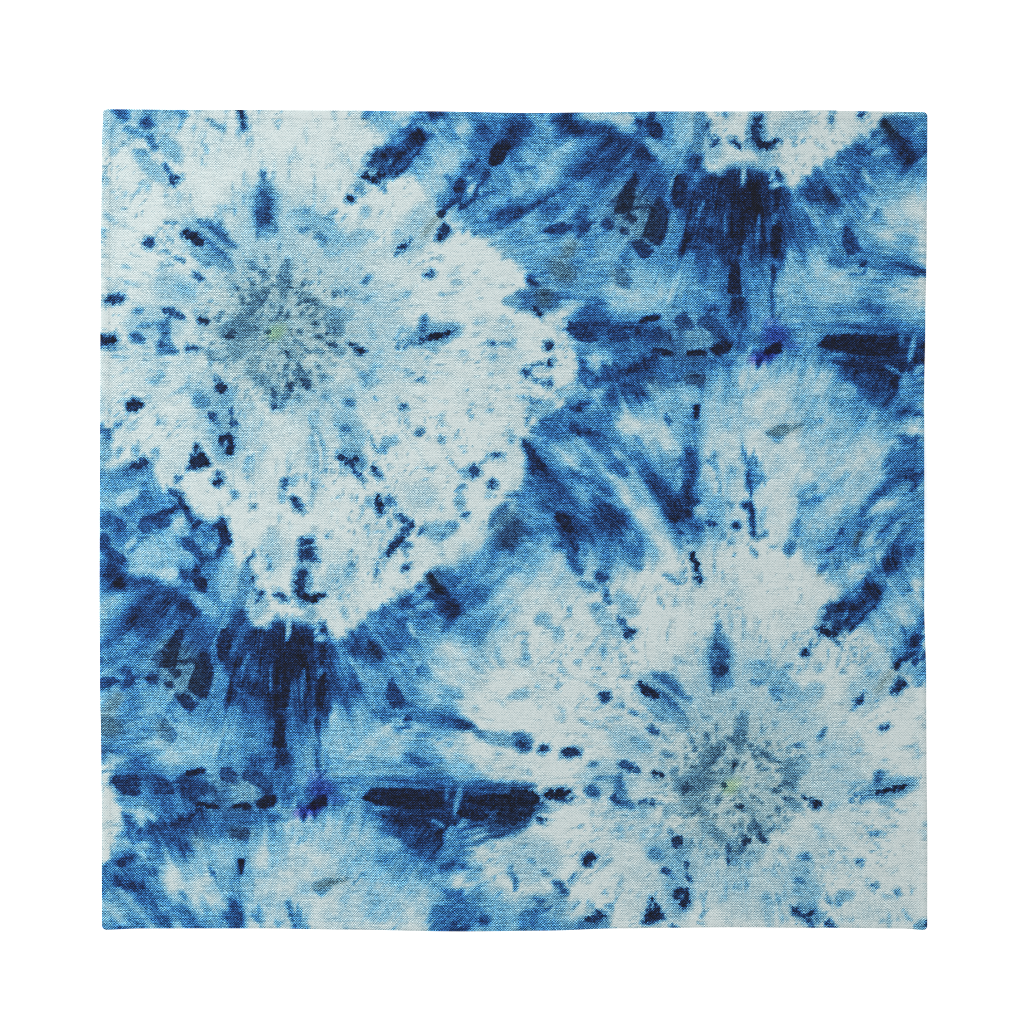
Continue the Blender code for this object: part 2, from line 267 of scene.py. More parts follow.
    (-140, 229, 12, 7, -50, 0.84), (-134, 219, 20, 5.5, -52, 0.88), (-121, 200, 32, 11, -55, 0.74),
    (-133, 200, 14, 8, -30, 0.66), (-146, 196, 16, 5, 10, 0.6), (-110, 171, 22, 12, -52, 0.84),
    (-105, 158, 11, 7, -75, 0.82), (-86, 185, 18, 10, -30, 0.76), (-79, 179, 17, 10, -40, 0.82),
    (-90, 176, 18, 4, -50, 0.8), (-77, 174, 8, 4, 0, 0.78), (-97, 184, 9, 6, 0, 0.68),
    (-85, 168, 9, 3, -50, 0.66), (-103, 208, 15, 4, -10, 0.72), (-96, 201, 14, 5, -40, 0.55),
    (-101, 217, 3, 5, 0, 0.56), (-55, 209, 19, 9, -35, 0.68), (-45, 198, 28, 9, -48, 0.78),
    (-38, 186, 18, 8, -62, 0.86), (-62, 216, 22, 8, -40, 0.58), (-80, 214, 15, 7, -20, 0.62),
    (-88, 224, 14, 6, -40, 0.58), (-64, 231, 9, 4, -60, 0.54), (-68, 158, 12, 8, -40, 0.64),
    (-66, 148, 9, 6, -50, 0.56), (-108, 152, 26, 9, -58, 0.7), (-98, 134, 16, 5, -20, 0.52),
    (-89, 140, 9, 7, 0, 0.76), (-86, 130, 10, 6, -70, 0.6), (-84, 124, 9, 5, -60, 0.58),
    (-92, 120, 12, 4, -20, 0.44), (-42, 139, 14, 3.5, -28, 0.46), (-49, 123, 8, 2.5, -70, 0.42),
    (-130, 112, 12, 9, 0, 0.34), (-120, 104, 16, 5, -30, 0.32), (-138, 154, 12, 9, 0, 0.46),
    (-148, 145, 12, 6, 0, 0.46), (-88, 247, 18, 8, 0, 0.63), (-67, 266, 20, 10, -25, 0.76),
    (-70, 280, 44, 12, 12, 0.74), (-63, 285, 26, 6, 20, 0.85), (-82, 280, 12, 9, 0, 0.74),
    (-72, 270, 14, 9, -20, 0.6), (-101, 279, 10, 6, 80, 0.76), (-92, 275, 12, 2.5, -8, 0.82),
    (-76, 214, 16, 9, -60, 0.66), (-103, 255, 16, 6, 10, 0.82), (-116, 251, 12, 4, 30, 0.66),
    (-108, 241, 12, 7, -40, 0.82), (-97, 238, 16, 5, -10, 0.82), (-94, 230, 14, 6, -50, 0.68),
    (-128, 244, 7, 5, 0, 0.72), (-134, 240, 9, 6, 0, 0.56), (-118, 245, 9, 6, 0, 0.62),
    (-100, 284, 9, 8, -60, 0.74), (-150, 168, 20, 14, 80, 0.74), (-30, 223, 14, 9, 80, 0.76),
    (-27, 213, 17, 8, 85, 0.8), (-31, 206, 42, 13, 88, 0.72), (-31, 201, 11, 6, 90, 0.84), (-29, 192, 12, 9, 0, 0.84),
    (-25, 175, 9, 8, 0, 0.74), (-13, 221, 6, 3, 80, 0.5), (-15, 216, 8, 3, 0, 0.56),
    (-10, 203, 34, 2.5, -86, 0.42), (0, 213, 5, 5, 0, 0.45), (8, 223, 7, 5, -30, 0.6),
    (10, 218, 9, 6, 80, 0.6), (15, 214, 11, 7, 80, 0.52), (18, 206, 9, 8, 0, 0.55),
    (11, 203, 18, 5, 90, 0.78), (-1, 188, 6, 4, 0, 0.44), (-5, 166, 12, 6, -20, 0.42),
    (14, 158, 10, 4, -50, 0.42), (20, 170, 7, 5, 0, 0.54), (20, 180, 12, 4, 90, 0.32),
    (45, 175, 12, 7, 85, 0.54), (52, 200, 18, 3, 30, 0.5), (55, 193, 18, 4.5, 30, 0.58),
    (68, 201, 34, 3, 42, 0.38), (46, 190, 14, 2.2, 85, 0.5), (39, 160, 13, 9, 40, 0.56),
    (27, 162, 7, 4, 0, 0.36), (55, 170, 5, 3, 0, 0.4), (15, 268, 6, 3, -60, 0.42),
    (57, 245, 10, 3, 15, 0.46), (74, 170, 26, 7, 50, 0.55), (60, 146, 10, 5, 48, 0.62),
    (85, 155, 12, 4, 20, 0.38), (-15, 286, 44, 9, -4, 0.66), (-5, 277, 16, 6, 0, 0.32),
    (103, 201, 34, 8, 40, 0.7), (88, 184, 7, 5, 0, 0.74), (108, 212, 12, 6, 45, 0.62),
    (121, 206, 20, 5, 78, 0.78), (106, 174, 22, 9, 55, 0.66), (92, 158, 18, 4, 25, 0.5),
    (110, 154, 20, 13, 40, 0.74), (116, 252, 14, 7, 30, 0.74), (100, 268, 20, 6, 20, 0.78),
    (112, 220, 16, 9, 30, 0.56), (121, 230, 18, 7, -15, 0.62), (120, 274, 5, 4, 0, 0.66),
    (100, 283, 46, 13, -4, 0.86), (118, 294, 6, 10, 0, 0.8), (94, 321, 16, 5, -35, 0.58),
    (92, 309, 38, 5, -5, 0.7), (38, 296, 14, 5, 5, 0.6), (4, 301, 9, 6, 0, 0.48),
    (-8, 304, 16, 8, -50, 0.82),
    # left of the burst, where a long wedge runs in
    (-158, -3, 46, 9, 1, 0.72), (-172, -39, 36, 4, 18, 0.6), (-199, -12, 10, 20, 0, 0.84),
    (-193, -24, 12, 9, 0, 0.86), (-199, -36, 12, 12, 0, 0.92), (-150, -28, 34, 14, 22, 0.72),
    (-134, -21, 7, 1.5, -50, 0.7), (-143, 31, 16, 8, -20, 0.62), (-143, 25, 13, 7, -10, 0.76),
    (-156, 30, 38, 10, -10, 0.38), (-184, 41, 22, 6, -20, 0.78), (-172, 34, 9, 4, -35, 0.6),
    (-196, 46, 16, 10, -20, 0.58), (-192, 60, 12, 12, 0, 0.38), (-145, 60, 18, 8, 20, 0.26),
    (-118, 67, 7, 4, 0, 0.34), (-181, -56, 8, 3, -5, 0.8), (-193, -56, 14, 8, 0, 0.48),
    (-151, -57, 4, 3, -60, 0.62), (-148, -63, 11, 3, -48, 0.62), (-147, -69, 8, 3, 80, 0.66),
    (-137, -53, 6, 4, -30, 0.48), (-127, -61, 7, 2.5, -30, 0.52), (-118, -68, 10, 5, -10, 0.68),
    (-114, -73, 8, 3, -62, 0.68), (-190, -76, 20, 6, -12, 0.68), (-190, -89, 32, 16, -8, 0.62),
    (-170, -94, 12, 8, 20, 0.8), (-186, -98, 12, 6, 0, 0.84), (-131, -79, 9, 5, -20, 0.72),
    (-126, -85, 10, 3, 38, 0.68), (-135, -88, 16, 10, 30, 0.58), (-130, -84, 36, 20, 10, 0.34),
    (-137, -96, 9, 6, 0, 0.64), (-163, -80, 26, 26, 0, 0.22), (-160, -75, 6, 3, 30, 0.4),
    # the slab at the upper right of the burst
    (95, 128, 12, 10, 50, 0.88), (110, 151, 22, 13, 50, 0.84), (78, 116, 34, 17, 52, 0.76),
    (72, 96, 7, 2.5, -50, 0.68), (72, 119, 9, 5, 60, 0.92), (82, 118, 16, 5, 35, 0.93),
    (91, 132, 10, 5, 20, 0.93), (86, 111, 24, 3, 48, 0.86), (65, 117, 14, 9, 50, 0.8),
    (145, 284, 22, 16, 0, 0.66), (31, -262, 16, 7, 90, 0.64), (72, -262, 18, 9, -20, 0.62),
)

# Crisp dark blots, as ovals: centre x, y, length, width, heading in degrees, dye
BLOTS = (
    (-156, -12, 50, 9, -1, 0.99), (-176, -21, 22, 8, -8, 0.97), (-148, -21, 28, 12, 16, 0.94),
    (-141, -8, 20, 8, -14, 0.95), (-130.5, -24.5, 6, 2.2, -28, 0.93), (-128, 23.5, 6, 3.6, 15, 0.85),
    (-142, 26, 7, 3, -20, 0.86),
    (-57, 62.5, 17, 6.5, -35, 0.95), (-87, 59, 7.5, 6.5, 0, 0.8), (-54, 36, 7.5, 3.5, -30, 0.76),
    (-110, 21, 12, 5, 8, 0.88), (-72, 12, 12, 5, -22, 0.78), (-66, 9, 6, 4, -30, 0.7),
    (-119, -7, 19, 6, 8, 0.99), (-114, -11.5, 10, 1.4, 0, 0.75), (-80, -10, 6, 4.5, 0, 0.78),
    (-58, -13, 9, 3.2, -5, 0.74), (-50.5, 6.5, 8, 3.4, -22, 0.88), (-32, -3, 8, 6, 45, 0.8),
    (-7, -1, 5.5, 2.6, -35, 0.78), (-25, 9, 6, 3, 40, 0.55), (-18, 12, 8, 3.5, 35, 0.62),
    (-11, 19, 9, 4, 60, 0.66), (-6.5, 25, 6, 2.6, 70, 0.6), (-71, 101, 4, 5.5, 0, 0.85),
    (-69, 102.5, 6, 2.6, 15, 0.85), (-74, 107, 12, 3, -58, 0.72), (-10, 105, 8, 3, 88, 0.62),
    (-7, 87, 8, 6, 0, 0.74), (-12, 87, 5, 7, 0, 0.55), (-12, 77, 6, 5, 0, 0.8),
    (-7, 77, 8, 5, -5, 0.88), (49, 89, 4.4, 4, 0, 0.96), (45, 26, 6.5, 2.6, 18, 0.6),
    (85, 56, 5, 4, 0, 0.92), (87.5, 59, 6.5, 2.2, 45, 0.72), (82, 52.5, 4, 1.8, 40, 0.62),
    (102.5, 38, 5.5, 2.6, 22, 0.82), (111, 80, 6, 4.6, 45, 0.96), (118, 86, 16, 4, 27, 0.85),
    (123, 97, 11, 7, 62, 0.93), (124, 83, 6, 4, 50, 0.84), (131, 88, 13, 3.6, 44, 0.82),
    (141, 105, 9, 5, 65, 0.86), (150, 120, 21, 10, 56, 0.99), (63, 102.5, 13, 3.2, -24, 0.97),
    (69, 103.5, 6, 5, 60, 0.92), (61, 107, 9, 1.4, 58, 0.86),
    (5, 43, 6, 4, 40, 0.5), (3, 36, 6, 3, -10, 0.62), (6, 31, 9, 2, -40, 0.6),
    (12, 25, 6, 3.2, -45, 0.66), (21, 19.5, 6, 2.2, -40, 0.7), (27.5, 16.5, 4.5, 1.8, -30, 0.68),
    (42, 13, 7, 1.8, 20, 0.5), (33, 9, 9, 3.5, 10, 0.52), (34, -1, 5, 3, 30, 0.72),
    (38.5, 0, 4, 2, 0, 0.72), (37, -10, 7, 2.2, -18, 0.78), (56, -14, 6, 4.8, -30, 0.98),
    (51.5, -10.5, 9, 1.5, -20, 0.8), (5, -15.5, 5.5, 2.6, -20, 0.82), (12, -8, 6, 1.8, -50, 0.52),
    (107, -4.2, 23, 3.4, 13, 0.99), (98.5, 1, 4, 3, 60, 0.7), (90, -9.5, 8, 2, 25, 0.62),
    (81, -11, 3, 1.8, 0, 0.6), (84, -7.5, 3.5, 2, 0, 0.55),
    (-38, -39.5, 8.5, 7, 0, 0.9), (-42, -33, 4.5, 2.4, -50, 0.6), (-45, -59, 6, 5, 0, 0.8),
    (-31.5, -55, 2.6, 4, 0, 0.72), (-30, -63.5, 7, 3.4, -50, 0.74), (-35, -73, 10, 5, 10, 0.93),
    (-38, -76, 5, 4, 0, 0.86), (-33, -80, 11, 5.5, 78, 0.95), (-40, -98, 4.5, 3.4, 90, 0.74),
    (-40.5, -102.5, 6.5, 4.6, 30, 0.9), (-68, -101.5, 4.6, 2.4, 80, 0.62),
    (-108.5, -64.5, 6, 1.4, 45, 0.62), (-17, -119.5, 2, 1.8, 0, 0.52), (-93, -91, 14, 4.6, 12, 0.9),
    (-91, -88, 5, 3, -30, 0.84), (-70, -111, 10, 4, -25, 0.78), (-66, -116, 9, 4, -62, 0.84),
    (-63, -121, 8, 4.5, -42, 0.88), (-73, -122, 19, 4, 22, 0.88), (-84, -128, 23, 6.5, 18, 0.84),
    (-90, -133, 11, 8, 0, 0.76), (-77, -131, 14, 5, 12, 0.78), (-60, -126.5, 12, 3.2, -60, 0.84),
    (-107, -131, 11, 6, -50, 0.8), (-117, -129, 12, 9, 70, 0.7), (-118, -144, 14, 8, 80, 0.84),
    (-111, -153, 20, 7, -32, 0.82), (-55, -132, 8, 5, 60, 0.88), (-58, -138, 8, 3, 70, 0.7),
    (-60, -146, 13, 8, -40, 0.76), (-54, -152, 16, 5, -55, 0.8), (-47, -155, 14, 2.6, 12, 0.76),
    (-42, -133.5, 9, 4.5, 18, 0.86), (-38, -132, 9, 6, 80, 0.9), (-37, -139, 12, 7, -80, 0.94),
    (-35.5, -143.5, 7, 6, 0, 0.94), (-40, -150, 12, 3.4, 76, 0.88), (-17, -169, 5, 2.4, 70, 0.82),
    (-14, -183, 3.5, 2, 70, 0.8), (-12, -179, 5, 3, 40, 0.76), (0, -179, 5, 3, -20, 0.8),
    (17, -29, 8, 4, -60, 0.66), (19, -36, 9, 5, -52, 0.8), (8, -39, 8, 4.4, 55, 0.84),
    (5, -44, 8, 4, 70, 0.58), (-3, -42, 8, 4, 85, 0.72), (-3, -52, 4, 4, 0, 0.78),
    (-13, -32, 7, 6, 0, 0.5), (44, -87, 10, 3.4, -42, 0.88), (49, -89.5, 8, 3, -15, 0.88),
    (53.5, -88, 4.6, 4.4, 0, 0.95), (52, -95, 15, 2.4, -50, 0.8), (66.5, -96.5, 9, 3.4, -60, 0.8),
    (65.5, -79, 5, 1.4, -50, 0.52), (66, -46.5, 2.2, 1.8, 0, 0.42), (85.5, -53, 3.6, 2.8, 0, 0.78),
    (96, -69, 3.6, 2.2, 10, 0.68), (111, -74, 4, 2.4, -60, 0.5), (97, -34, 6, 1.6, 0, 0.52),
    (5, -104, 7, 3.4, 70, 0.74), (13, -118, 11, 4, -52, 0.84), (34, -139, 3, 1.6, 80, 0.4),
    (69, -119, 12, 4.6, -76, 0.97), (78, -116, 7, 2, -60, 0.62), (84, -127.5, 10, 3.2, -40, 0.78),
    (89, -132, 7, 5, -60, 0.82), (86, -137, 11, 4.5, 45, 0.74), (80.5, -144, 14, 5, 50, 0.9),
    (76, -150, 9, 3.4, 45, 0.88), (73, -152, 5, 2, 10, 0.62), (133, -96, 8, 6.5, 60, 0.78),
    (147.5, -85, 8, 3, -5, 0.72), (145.5, -104.5, 4.4, 4, 0, 0.88), (145.5, -9, 5, 2.6, -30, 0.74),
    (3.5, -182, 5, 2.6, -30, 0.8), (67, -163, 8, 1.4, 90, 0.62), (86.5, -161, 5, 3.4, 50, 0.8),
    (15.5, -172, 20, 6, 88, 0.86), (17.5, -164, 6, 4, 0, 0.88), (19, -181.5, 8, 6, -20, 0.95),
    (25, -182, 9, 5, 22, 0.96), (29.5, -180, 5, 2, 18, 0.84),
    (-52.5, -172, 11, 9, -60, 0.92), (-50, -176, 5, 4, 0, 0.92), (-55, -163, 8, 5, 80, 0.88),
    (-36.5, -214, 23, 9.4, 88, 0.93), (-85, -236, 8.6, 7.6, 0, 0.86), (-73.5, -240.5, 8.4, 4.4, -33, 0.86),
    (-61, -224.5, 18, 2.6, 8, 0.86), (9, -223, 32, 7, 86, 0.97), (5.5, -245, 24, 6, 88, 0.98),
    (29, -246, 26, 7, 84, 0.99), (30, -220, 16, 5, 80, 0.94), (27, -268, 12, 4, 90, 0.88),
    (31, -203, 10, 3, -60, 0.84), (-33, -204, 6, 5, 0, 0.85), (81, -253, 9, 5, 0, 0.96),
    (-56.5, 315, 15, 4, 13, 0.98), (-48, 292.5, 17, 3.4, -9, 0.98), (-24.5, 292, 15, 4.4, 3, 0.99),
    (-8, 295, 15, 8.4, 12, 0.99), (-132, 320, 8, 3.4, -48, 0.88), (-125, 296.5, 5, 4.6, 0, 0.88),
    (-124, 285, 3, 4.4, 0, 0.88), (-140.5, 278, 5.4, 3.6, -20, 0.8), (-125, 272, 4.4, 3.4, 30, 0.86),
    (-133, 283.5, 10, 1.3, 16, 0.6), (-132, 272.5, 11, 1.3, -25, 0.55), (-142, 261.5, 5, 2, 0, 0.6),
    (-134, 259.5, 7, 1.8, -15, 0.64), (-137, 256, 6, 1.3, 50, 0.5), (-139, 249, 8, 1.5, 85, 0.5),
    (-105, 254, 6, 5, 0, 0.9), (-115, 177.5, 15, 6.4, -46, 0.98), (-106, 159, 7, 4, -80, 0.88),
    (-130, 215, 9, 4.4, -10, 0.95), (-135, 212, 6, 4, 80, 0.88), (-39, 181, 9, 7, 60, 0.95),
    (-44, 247, 9, 2.8, -64, 0.68), (-31, 183, 8, 6, -30, 0.93), (-15, 176.5, 8, 3.4, -5, 0.88),
    (12, 186, 11, 3.6, -75, 0.92), (9, 189, 6, 4, 0, 0.82), (13, 178, 14, 2.8, -84, 0.88),
    (14, 170, 6, 3, -70, 0.78), (2, 175, 5.6, 4.6, 0, 0.88), (-27, 153, 8, 3.6, -68, 0.94),
    (-24.5, 146.5, 7, 3, -72, 0.94), (-23, 138, 6, 3.6, -70, 0.86), (-30, 164, 3, 2.6, 0, 0.66),
    (-35, 170, 6, 3, -30, 0.82), (66, 159, 7, 3, 30, 0.9), (73, 171, 6, 3, 60, 0.88),
    (120, 209, 9, 4.4, -65, 0.84), (113, 279, 8, 5, 0, 0.95), (-118, -238.5, 18, 5.6, 10, 0.84),
)

# Crisp dark shards, where the cloth was folded: dye, then the corners x, y in order
SHARDS = (
    (0.95, ((-97, -46.5), (-92, -50), (-97, -55), (-101, -55), (-103, -50.5))),
    (0.95, ((-55, -77), (-46, -90.5), (-50, -93), (-61, -94.5))),
    (0.9, ((107, 61.5), (110, 60.5), (117.8, 67), (112, 72.6))),
    (0.92, ((-66, -200), (-64, -204), (-67, -219), (-69.5, -229), (-81, -228.5), (-77.5, -215.5))),
    (0.76, ((-83, -218.5), (-78, -215.5), (-79, -224), (-86, -224))),
    (0.86, ((-76, -231), (-72, -229), (-65.5, -230.5), (-65, -233.5), (-69, -236))),
    (0.91, ((-61.5, -243.5), (-54.5, -222), (-50, -217), (-46.5, -220), (-44, -229), (-44.5, -239),
            (-47, -247), (-50, -250.5), (-55.5, -248))),
    (0.87, ((-71, -247.5), (-62.5, -246), (-53, -254), (-60.5, -260))),
    (0.60, ((-79.5, -261.5), (-75.5, -264), (-68, -274), (-71, -280), (-80, -276.5))),
    (0.50, ((-109, -247), (-105.5, -251.5), (-106, -256), (-117, -257))),
    (0.60, ((-127.5, -259.5), (-107, -264), (-105, -268.5), (-111.5, -277.5), (-120.5, -274))),
    (0.84, ((-100.5, -231.5), (-97.5, -235.5), (-96.5, -240), (-102, -242.5), (-105, -239))),
    (0.56, ((-102, -244), (-97, -242), (-94, -248), (-95, -257), (-98, -258))),
    (0.84, ((76, -234), (84, -246), (87, -255), (78, -257), (73, -248))),
    (0.88, ((88, -260), (91.5, -264), (85, -265.5))),
    (0.86, ((15, -142), (24, -140.5), (24.5, -144), (15, -147))),
    (0.84, ((14, -149), (24, -147.5), (27, -156.5), (15, -156))),
    (0.88, ((-114, 308), (-111, 313), (-103, 312), (-95, 307), (-92, 300), (-98, 299), (-105, 301))),
    (0.84, ((-85, 303), (-84, 309), (-78, 311), (-71, 305), (-70, 300), (-83, 300))),
    (0.82, ((-59, 299), (-57, 306), (-51, 310), (-46, 306), (-49, 300), (-55, 299))),
    (0.80, ((-40, 313), (-38, 318), (-32, 319), (-28, 314), (-26.5, 307.5), (-36, 308))),
    (0.78, ((-25, 311), (-23, 317), (-13, 318), (-2, 302), (-14, 306))),
    (0.99, ((-1, -261), (4, -261), (5.5, -283), (-4, -283))),
    (0.92, ((-1, -286), (8, -286), (8, -293), (-3, -299))),
    (0.99, ((19, 291), (24, 296), (31, 300.5), (33, 298), (33, 292), (24, 291))),
    (0.98, ((57, 297), (63, 304), (85, 305), (111, 302), (112, 291), (90, 290), (70, 293))),
    (0.93, ((66, 286.5), (80, 285.5), (112, 283), (114, 277), (90, 279))),
    (0.99, ((-27.5, 256.5), (-22.5, 256.5), (-24, 246), (-25.5, 246))),
    (0.78, ((-33, 276), (-22, 278), (-19, 277), (-20, 267), (-25, 270), (-32, 271))),
    (0.70, ((-38, 289), (-28, 290), (-20, 289), (-21, 281), (-37, 282))),
    (0.5, ((22, 238), (32, 243), (50, 243.5), (38, 239), (29.5, 231.5))),
)

# Where the dye turns grey-green, violet or yellow: centre x, y, length, width, heading, amount
GREY = (
    (103, 70, 22, 6, 52, 0.9), (57, 51, 9, 4, 40, 0.5), (0, 0, 100, 96, 0, 0.55),
    (-111, -253, 16, 9, 60, 0.8), (-116, -267, 22, 16, -40, 0.8), (-66, -230, 44, 32, -50, 0.6),
    (-77, -272, 16, 12, -50, 0.6), (35, 240, 26, 8, 12, 1.0), (-26, 274, 18, 10, 0, 0.55),
    (84, 166, 14, 4, 68, 0.9), (58, 141, 6, 4, 60, 0.8), (-152, 172, 28, 20, 80, 0.5),
    (-54, 270, 12, 12, 0, 0.5), (-30, 300, 40, 30, 0, 0.3), (106, -172, 16, 10, -50, 0.6),
    (-128, -285, 10, 14, 0, 0.6), (65, -218, 12, 10, 0, 0.3),
)
VIOLET = (
    (29, 304, 17, 14, 0, 0.8), (20, 289, 20, 8, 12, 1.0), (26, 312, 12, 9, 0, 0.5),
    (38, 297, 14, 5, 0, 0.5), (66, 159, 8, 4, 30, 0.4),
)
YELLOW = ((-2, -2, 12, 10, 30, 1.0), (3, 1, 6, 8, 0, 0.7))
GREY_WASH = ((103, 70, 20, 5, 52, 0.32),)

# Light gaps and holes, over everything: centre x, y, length, width, heading in degrees, dye
GAPS = (
    (-34, -168, 34, 12, 82, 0.3), (-50, -186, 26, 9, -40, 0.36), (-88, -152, 22, 14, 10, 0.24),
    (8, -262, 4, 30, 0, 0.66), (96, -180, 16, 5, 40, 0.5),
    (-187, -12, 20, 4, 78, 0.46), (-194, -6, 9, 3, 84, 0.56), (-183, -27, 10, 5, 40, 0.42),
    (-200, -27, 12, 4, -24, 0.5), (-239, -17, 14, 2.5, 10, 0.5),
    (-38, -243, 22, 8, 72, 0.56), (-145, -212, 14, 8, 30, 0.3),
    (-150, -288, 14, 8, 0, 0.4), (-100, -112, 14, 8, 30, 0.22), (22, -8, 9, 9, 0, 0.2), (75, 145, 14, 6, 40, 0.3), (60, 116, 7, 5, 40, 0.3),
    (117, 268, 24, 9, 90, 0.52), (76, 266, 16, 12, 0, 0.34), (-37, 206, 18, 6, 80, 0.42),
    (8, 287, 12, 9, 0, 0.34), (-72, -171, 14, 6, 0, 0.36),
    (-129.5, -8, 9, 2.4, 84, 0.12), (-176, -32, 20, 2.4, 14, 0.4),
    (65, 107, 6, 3.5, 40, 0.45), (76, 114, 6, 3, 60, 0.45), (83, 129, 13, 2.5, 40, 0.56),
    (86, 140, 8, 4, 30, 0.15), (131, 96, 9, 4, 55, 0.15), (130, 103, 4, 3, 0, 0.2),
    (-68, -131, 12, 8, 40, 0.16), (-45, -147, 8, 5, 0, 0.3), (-75, -165, 16, 9, 0, 0.16),
    (-92, -163, 20, 6, 0, 0.22), (-105, -115, 12, 8, 30, 0.18), (-100, -145, 10, 5, 40, 0.2),
    (-55, -83, 5, 3.5, -60, 0.5), (7, -203, 14, 3.5, 86, 0.24), (29, -209, 9, 5, 20, 0.26), (27, -203, 8, 3, 60, 0.24),
    (20, -147, 12, 1.6, 0, 0.3), (52, -228, 16, 3, -52, 0.34), (91, -204, 14, 3, -66, 0.26),
    (100, -187, 13, 6, 20, 0.36), (125, -172, 11, 3, 45, 0.42), (-120, -189, 30, 5, 35, 0.28),
    (-22, -225, 12, 2, 65, 0.5), (-5, -236, 16, 2.4, 90, 0.62), (17, -240, 22, 3, 86, 0.64), (-22, 185, 9, 8, 0, 0.2),
    (-92, 265, 12, 6, 10, 0.3),
)


def smooth(share):
    """0 to 1 with level ends."""
    share = np.clip(share, 0.0, 1.0)
    return share * share * (3 - 2 * share)


def wander(side, along):
    """How far a side lies outside its straight line, at places along it."""
    places = np.array([place for place, _ in SIDE_WANDER[side]]) * MM
    offsets = np.array([offset for _, offset in SIDE_WANDER[side]]) * MM
    along = np.clip(along, places[0], places[-1])
    span = np.clip(np.searchsorted(places, along) - 1, 0, len(places) - 2)
    share = smooth((along - places[span]) / (places[span + 1] - places[span]))
    return offsets[span] + (offsets[span + 1] - offsets[span]) * share


def grid_lines(length):
    """Places of the grid's lines along one direction: close over each hem, even between them."""
    hem = [inset * MM for inset, _ in HEM_SECTION]
    field = length - 2 * hem[-1]
    low = [-length / 2 + inset for inset in hem]
    middle = [low[-1] + field * k / FIELD_SPANS for k in range(1, FIELD_SPANS)]
    return np.array(low + middle + [-place for place in reversed(low)])


def laid_out(x, y):
    """The places of points of the straight-sided sheet on the uneven cloth."""
    from_left = 0.5 + x / WIDTH
    from_bottom = 0.5 + y / DEPTH
    across = from_left * wander("right", y) - (1 - from_left) * wander("left", y)
    along = from_bottom * wander("top", x) - (1 - from_bottom) * wander("bottom", x)
    past_x = np.maximum(np.abs(x) - (WIDTH / 2 - CORNER_RADIUS), 0)
    past_y = np.maximum(np.abs(y) - (DEPTH / 2 - CORNER_RADIUS), 0)
    reach = np.maximum(np.hypot(past_x, past_y), 1e-9)
    pull = np.where((past_x > 0) & (past_y > 0), np.maximum(past_x, past_y) / reach, 1.0)
    corner_x = x - np.sign(x) * past_x * (1 - pull)
    corner_y = y - np.sign(y) * past_y * (1 - pull)
    return corner_x + across, corner_y + along


def lift(x, y):
    """How high the underside stands off the surface."""
    height = np.zeros_like(x)
    for foot_x, foot_y, heading, run, half_width, top in RIPPLES:
        turn = math.radians(heading)
        dx = x - foot_x * MM
        dy = y - foot_y * MM
        ahead = (dx * math.cos(turn) + dy * math.sin(turn)) / (run * MM)
        aside = np.abs(dy * math.cos(turn) - dx * math.sin(turn))
        reach = half_width * MM * (1 - RIPPLE_TAPER * smooth(ahead))
        height += top * MM * smooth(1 - ahead) * smooth(1 - aside / reach)
    return height


def noise(x, y, seed, period=256):
    """Smooth random values from 0 to 1, with features about one unit across."""
    table = np.random.default_rng(seed).random((256, period))
    column = np.floor(x).astype(int)
    row = np.floor(y).astype(int)
    right = smooth(x - column)
    up = smooth(y - row)
    here, beyond = column % period, (column + 1) % period
    this, above = row % 256, (row + 1) % 256
    low = table[this, here] * (1 - right) + table[this, beyond] * right
    high = table[above, here] * (1 - right) + table[above, beyond] * right
    return low * (1 - up) + high * up


def cloudy(x, y, seed):
    """Noise with finer noise in it, from 0 to 1."""
    return (
        0.55 * noise(x, y, seed)
        + 0.29 * noise(2.1 * x, 2.1 * y, seed + 1)
        + 0.16 * noise(4.3 * x, 4.3 * y, seed + 2)
    )


def burst_offset(x, y, from_x=0.0, from_y=0.0):
    """Offset in mm from the nearest repeat of a charted place, for places from a burst."""
    dx = x - from_x
    dy = y - from_y
    columns = np.round(dx / REPEAT_ACROSS)
    rows = columns + 2 * np.round((dy / REPEAT_DOWN - columns) / 2)
    return dx - columns * REPEAT_ACROSS, dy - rows * REPEAT_DOWN


def nearest_burst(x, y):
    """Offset in mm from the burst whose streaks reach a place; they reach furthest upwards."""
    dx, dy = burst_offset(x, y)
    best_x, best_y = dx, dy
    best = np.full_like(x, 1e9)
    for step_x, step_y in ((0, 0), (1, 1), (1, -1), (-1, 1), (-1, -1)):
        near_x = dx - step_x * REPEAT_ACROSS
        near_y = dy - step_y * REPEAT_DOWN
        cost = np.hypot(SIDEWAYS_COST * near_x, near_y) - UPWARD_REACH * near_y
        cost -= ROW_REACH * np.exp(-((near_y / ROW_HALF_HEIGHT) ** 2))
        closer = cost < best
        best = np.where(closer, cost, best)
        best_x = np.where(closer, near_x, best_x)
        best_y = np.where(closer, near_y, best_y)
    return best_x, best_y


def fan_lines(x, y):
    """Offset in mm from the place that a burst's streaks run out from."""
    dx, dy = nearest_burst(x, y)
    shift = FAN_OFFSET * smooth((np.abs(dy) - FAN_START) / FAN_OFFSET)
    return dx, dy - np.sign(dy) * shift


def oval_distance(x, y, oval):
    """Distance in mm inside an oval's edge; outside it is negative."""
    centre_x, centre_y, length, width, heading = oval
    dx, dy = burst_offset(x, y, centre_x, centre_y)
    turn = math.radians(heading)
    ahead = (dx * math.cos(turn) + dy * math.sin(turn)) / (length / 2)
    aside = (dy * math.cos(turn) - dx * math.sin(turn)) / (width / 2)
    ring = np.hypot(ahead, aside)
    slope = np.hypot(ahead / (length / 2), aside / (width / 2))
    return ring * (1 - ring) / np.maximum(slope, 1e-6) + np.where(ring < 1e-3, width / 2, 0)


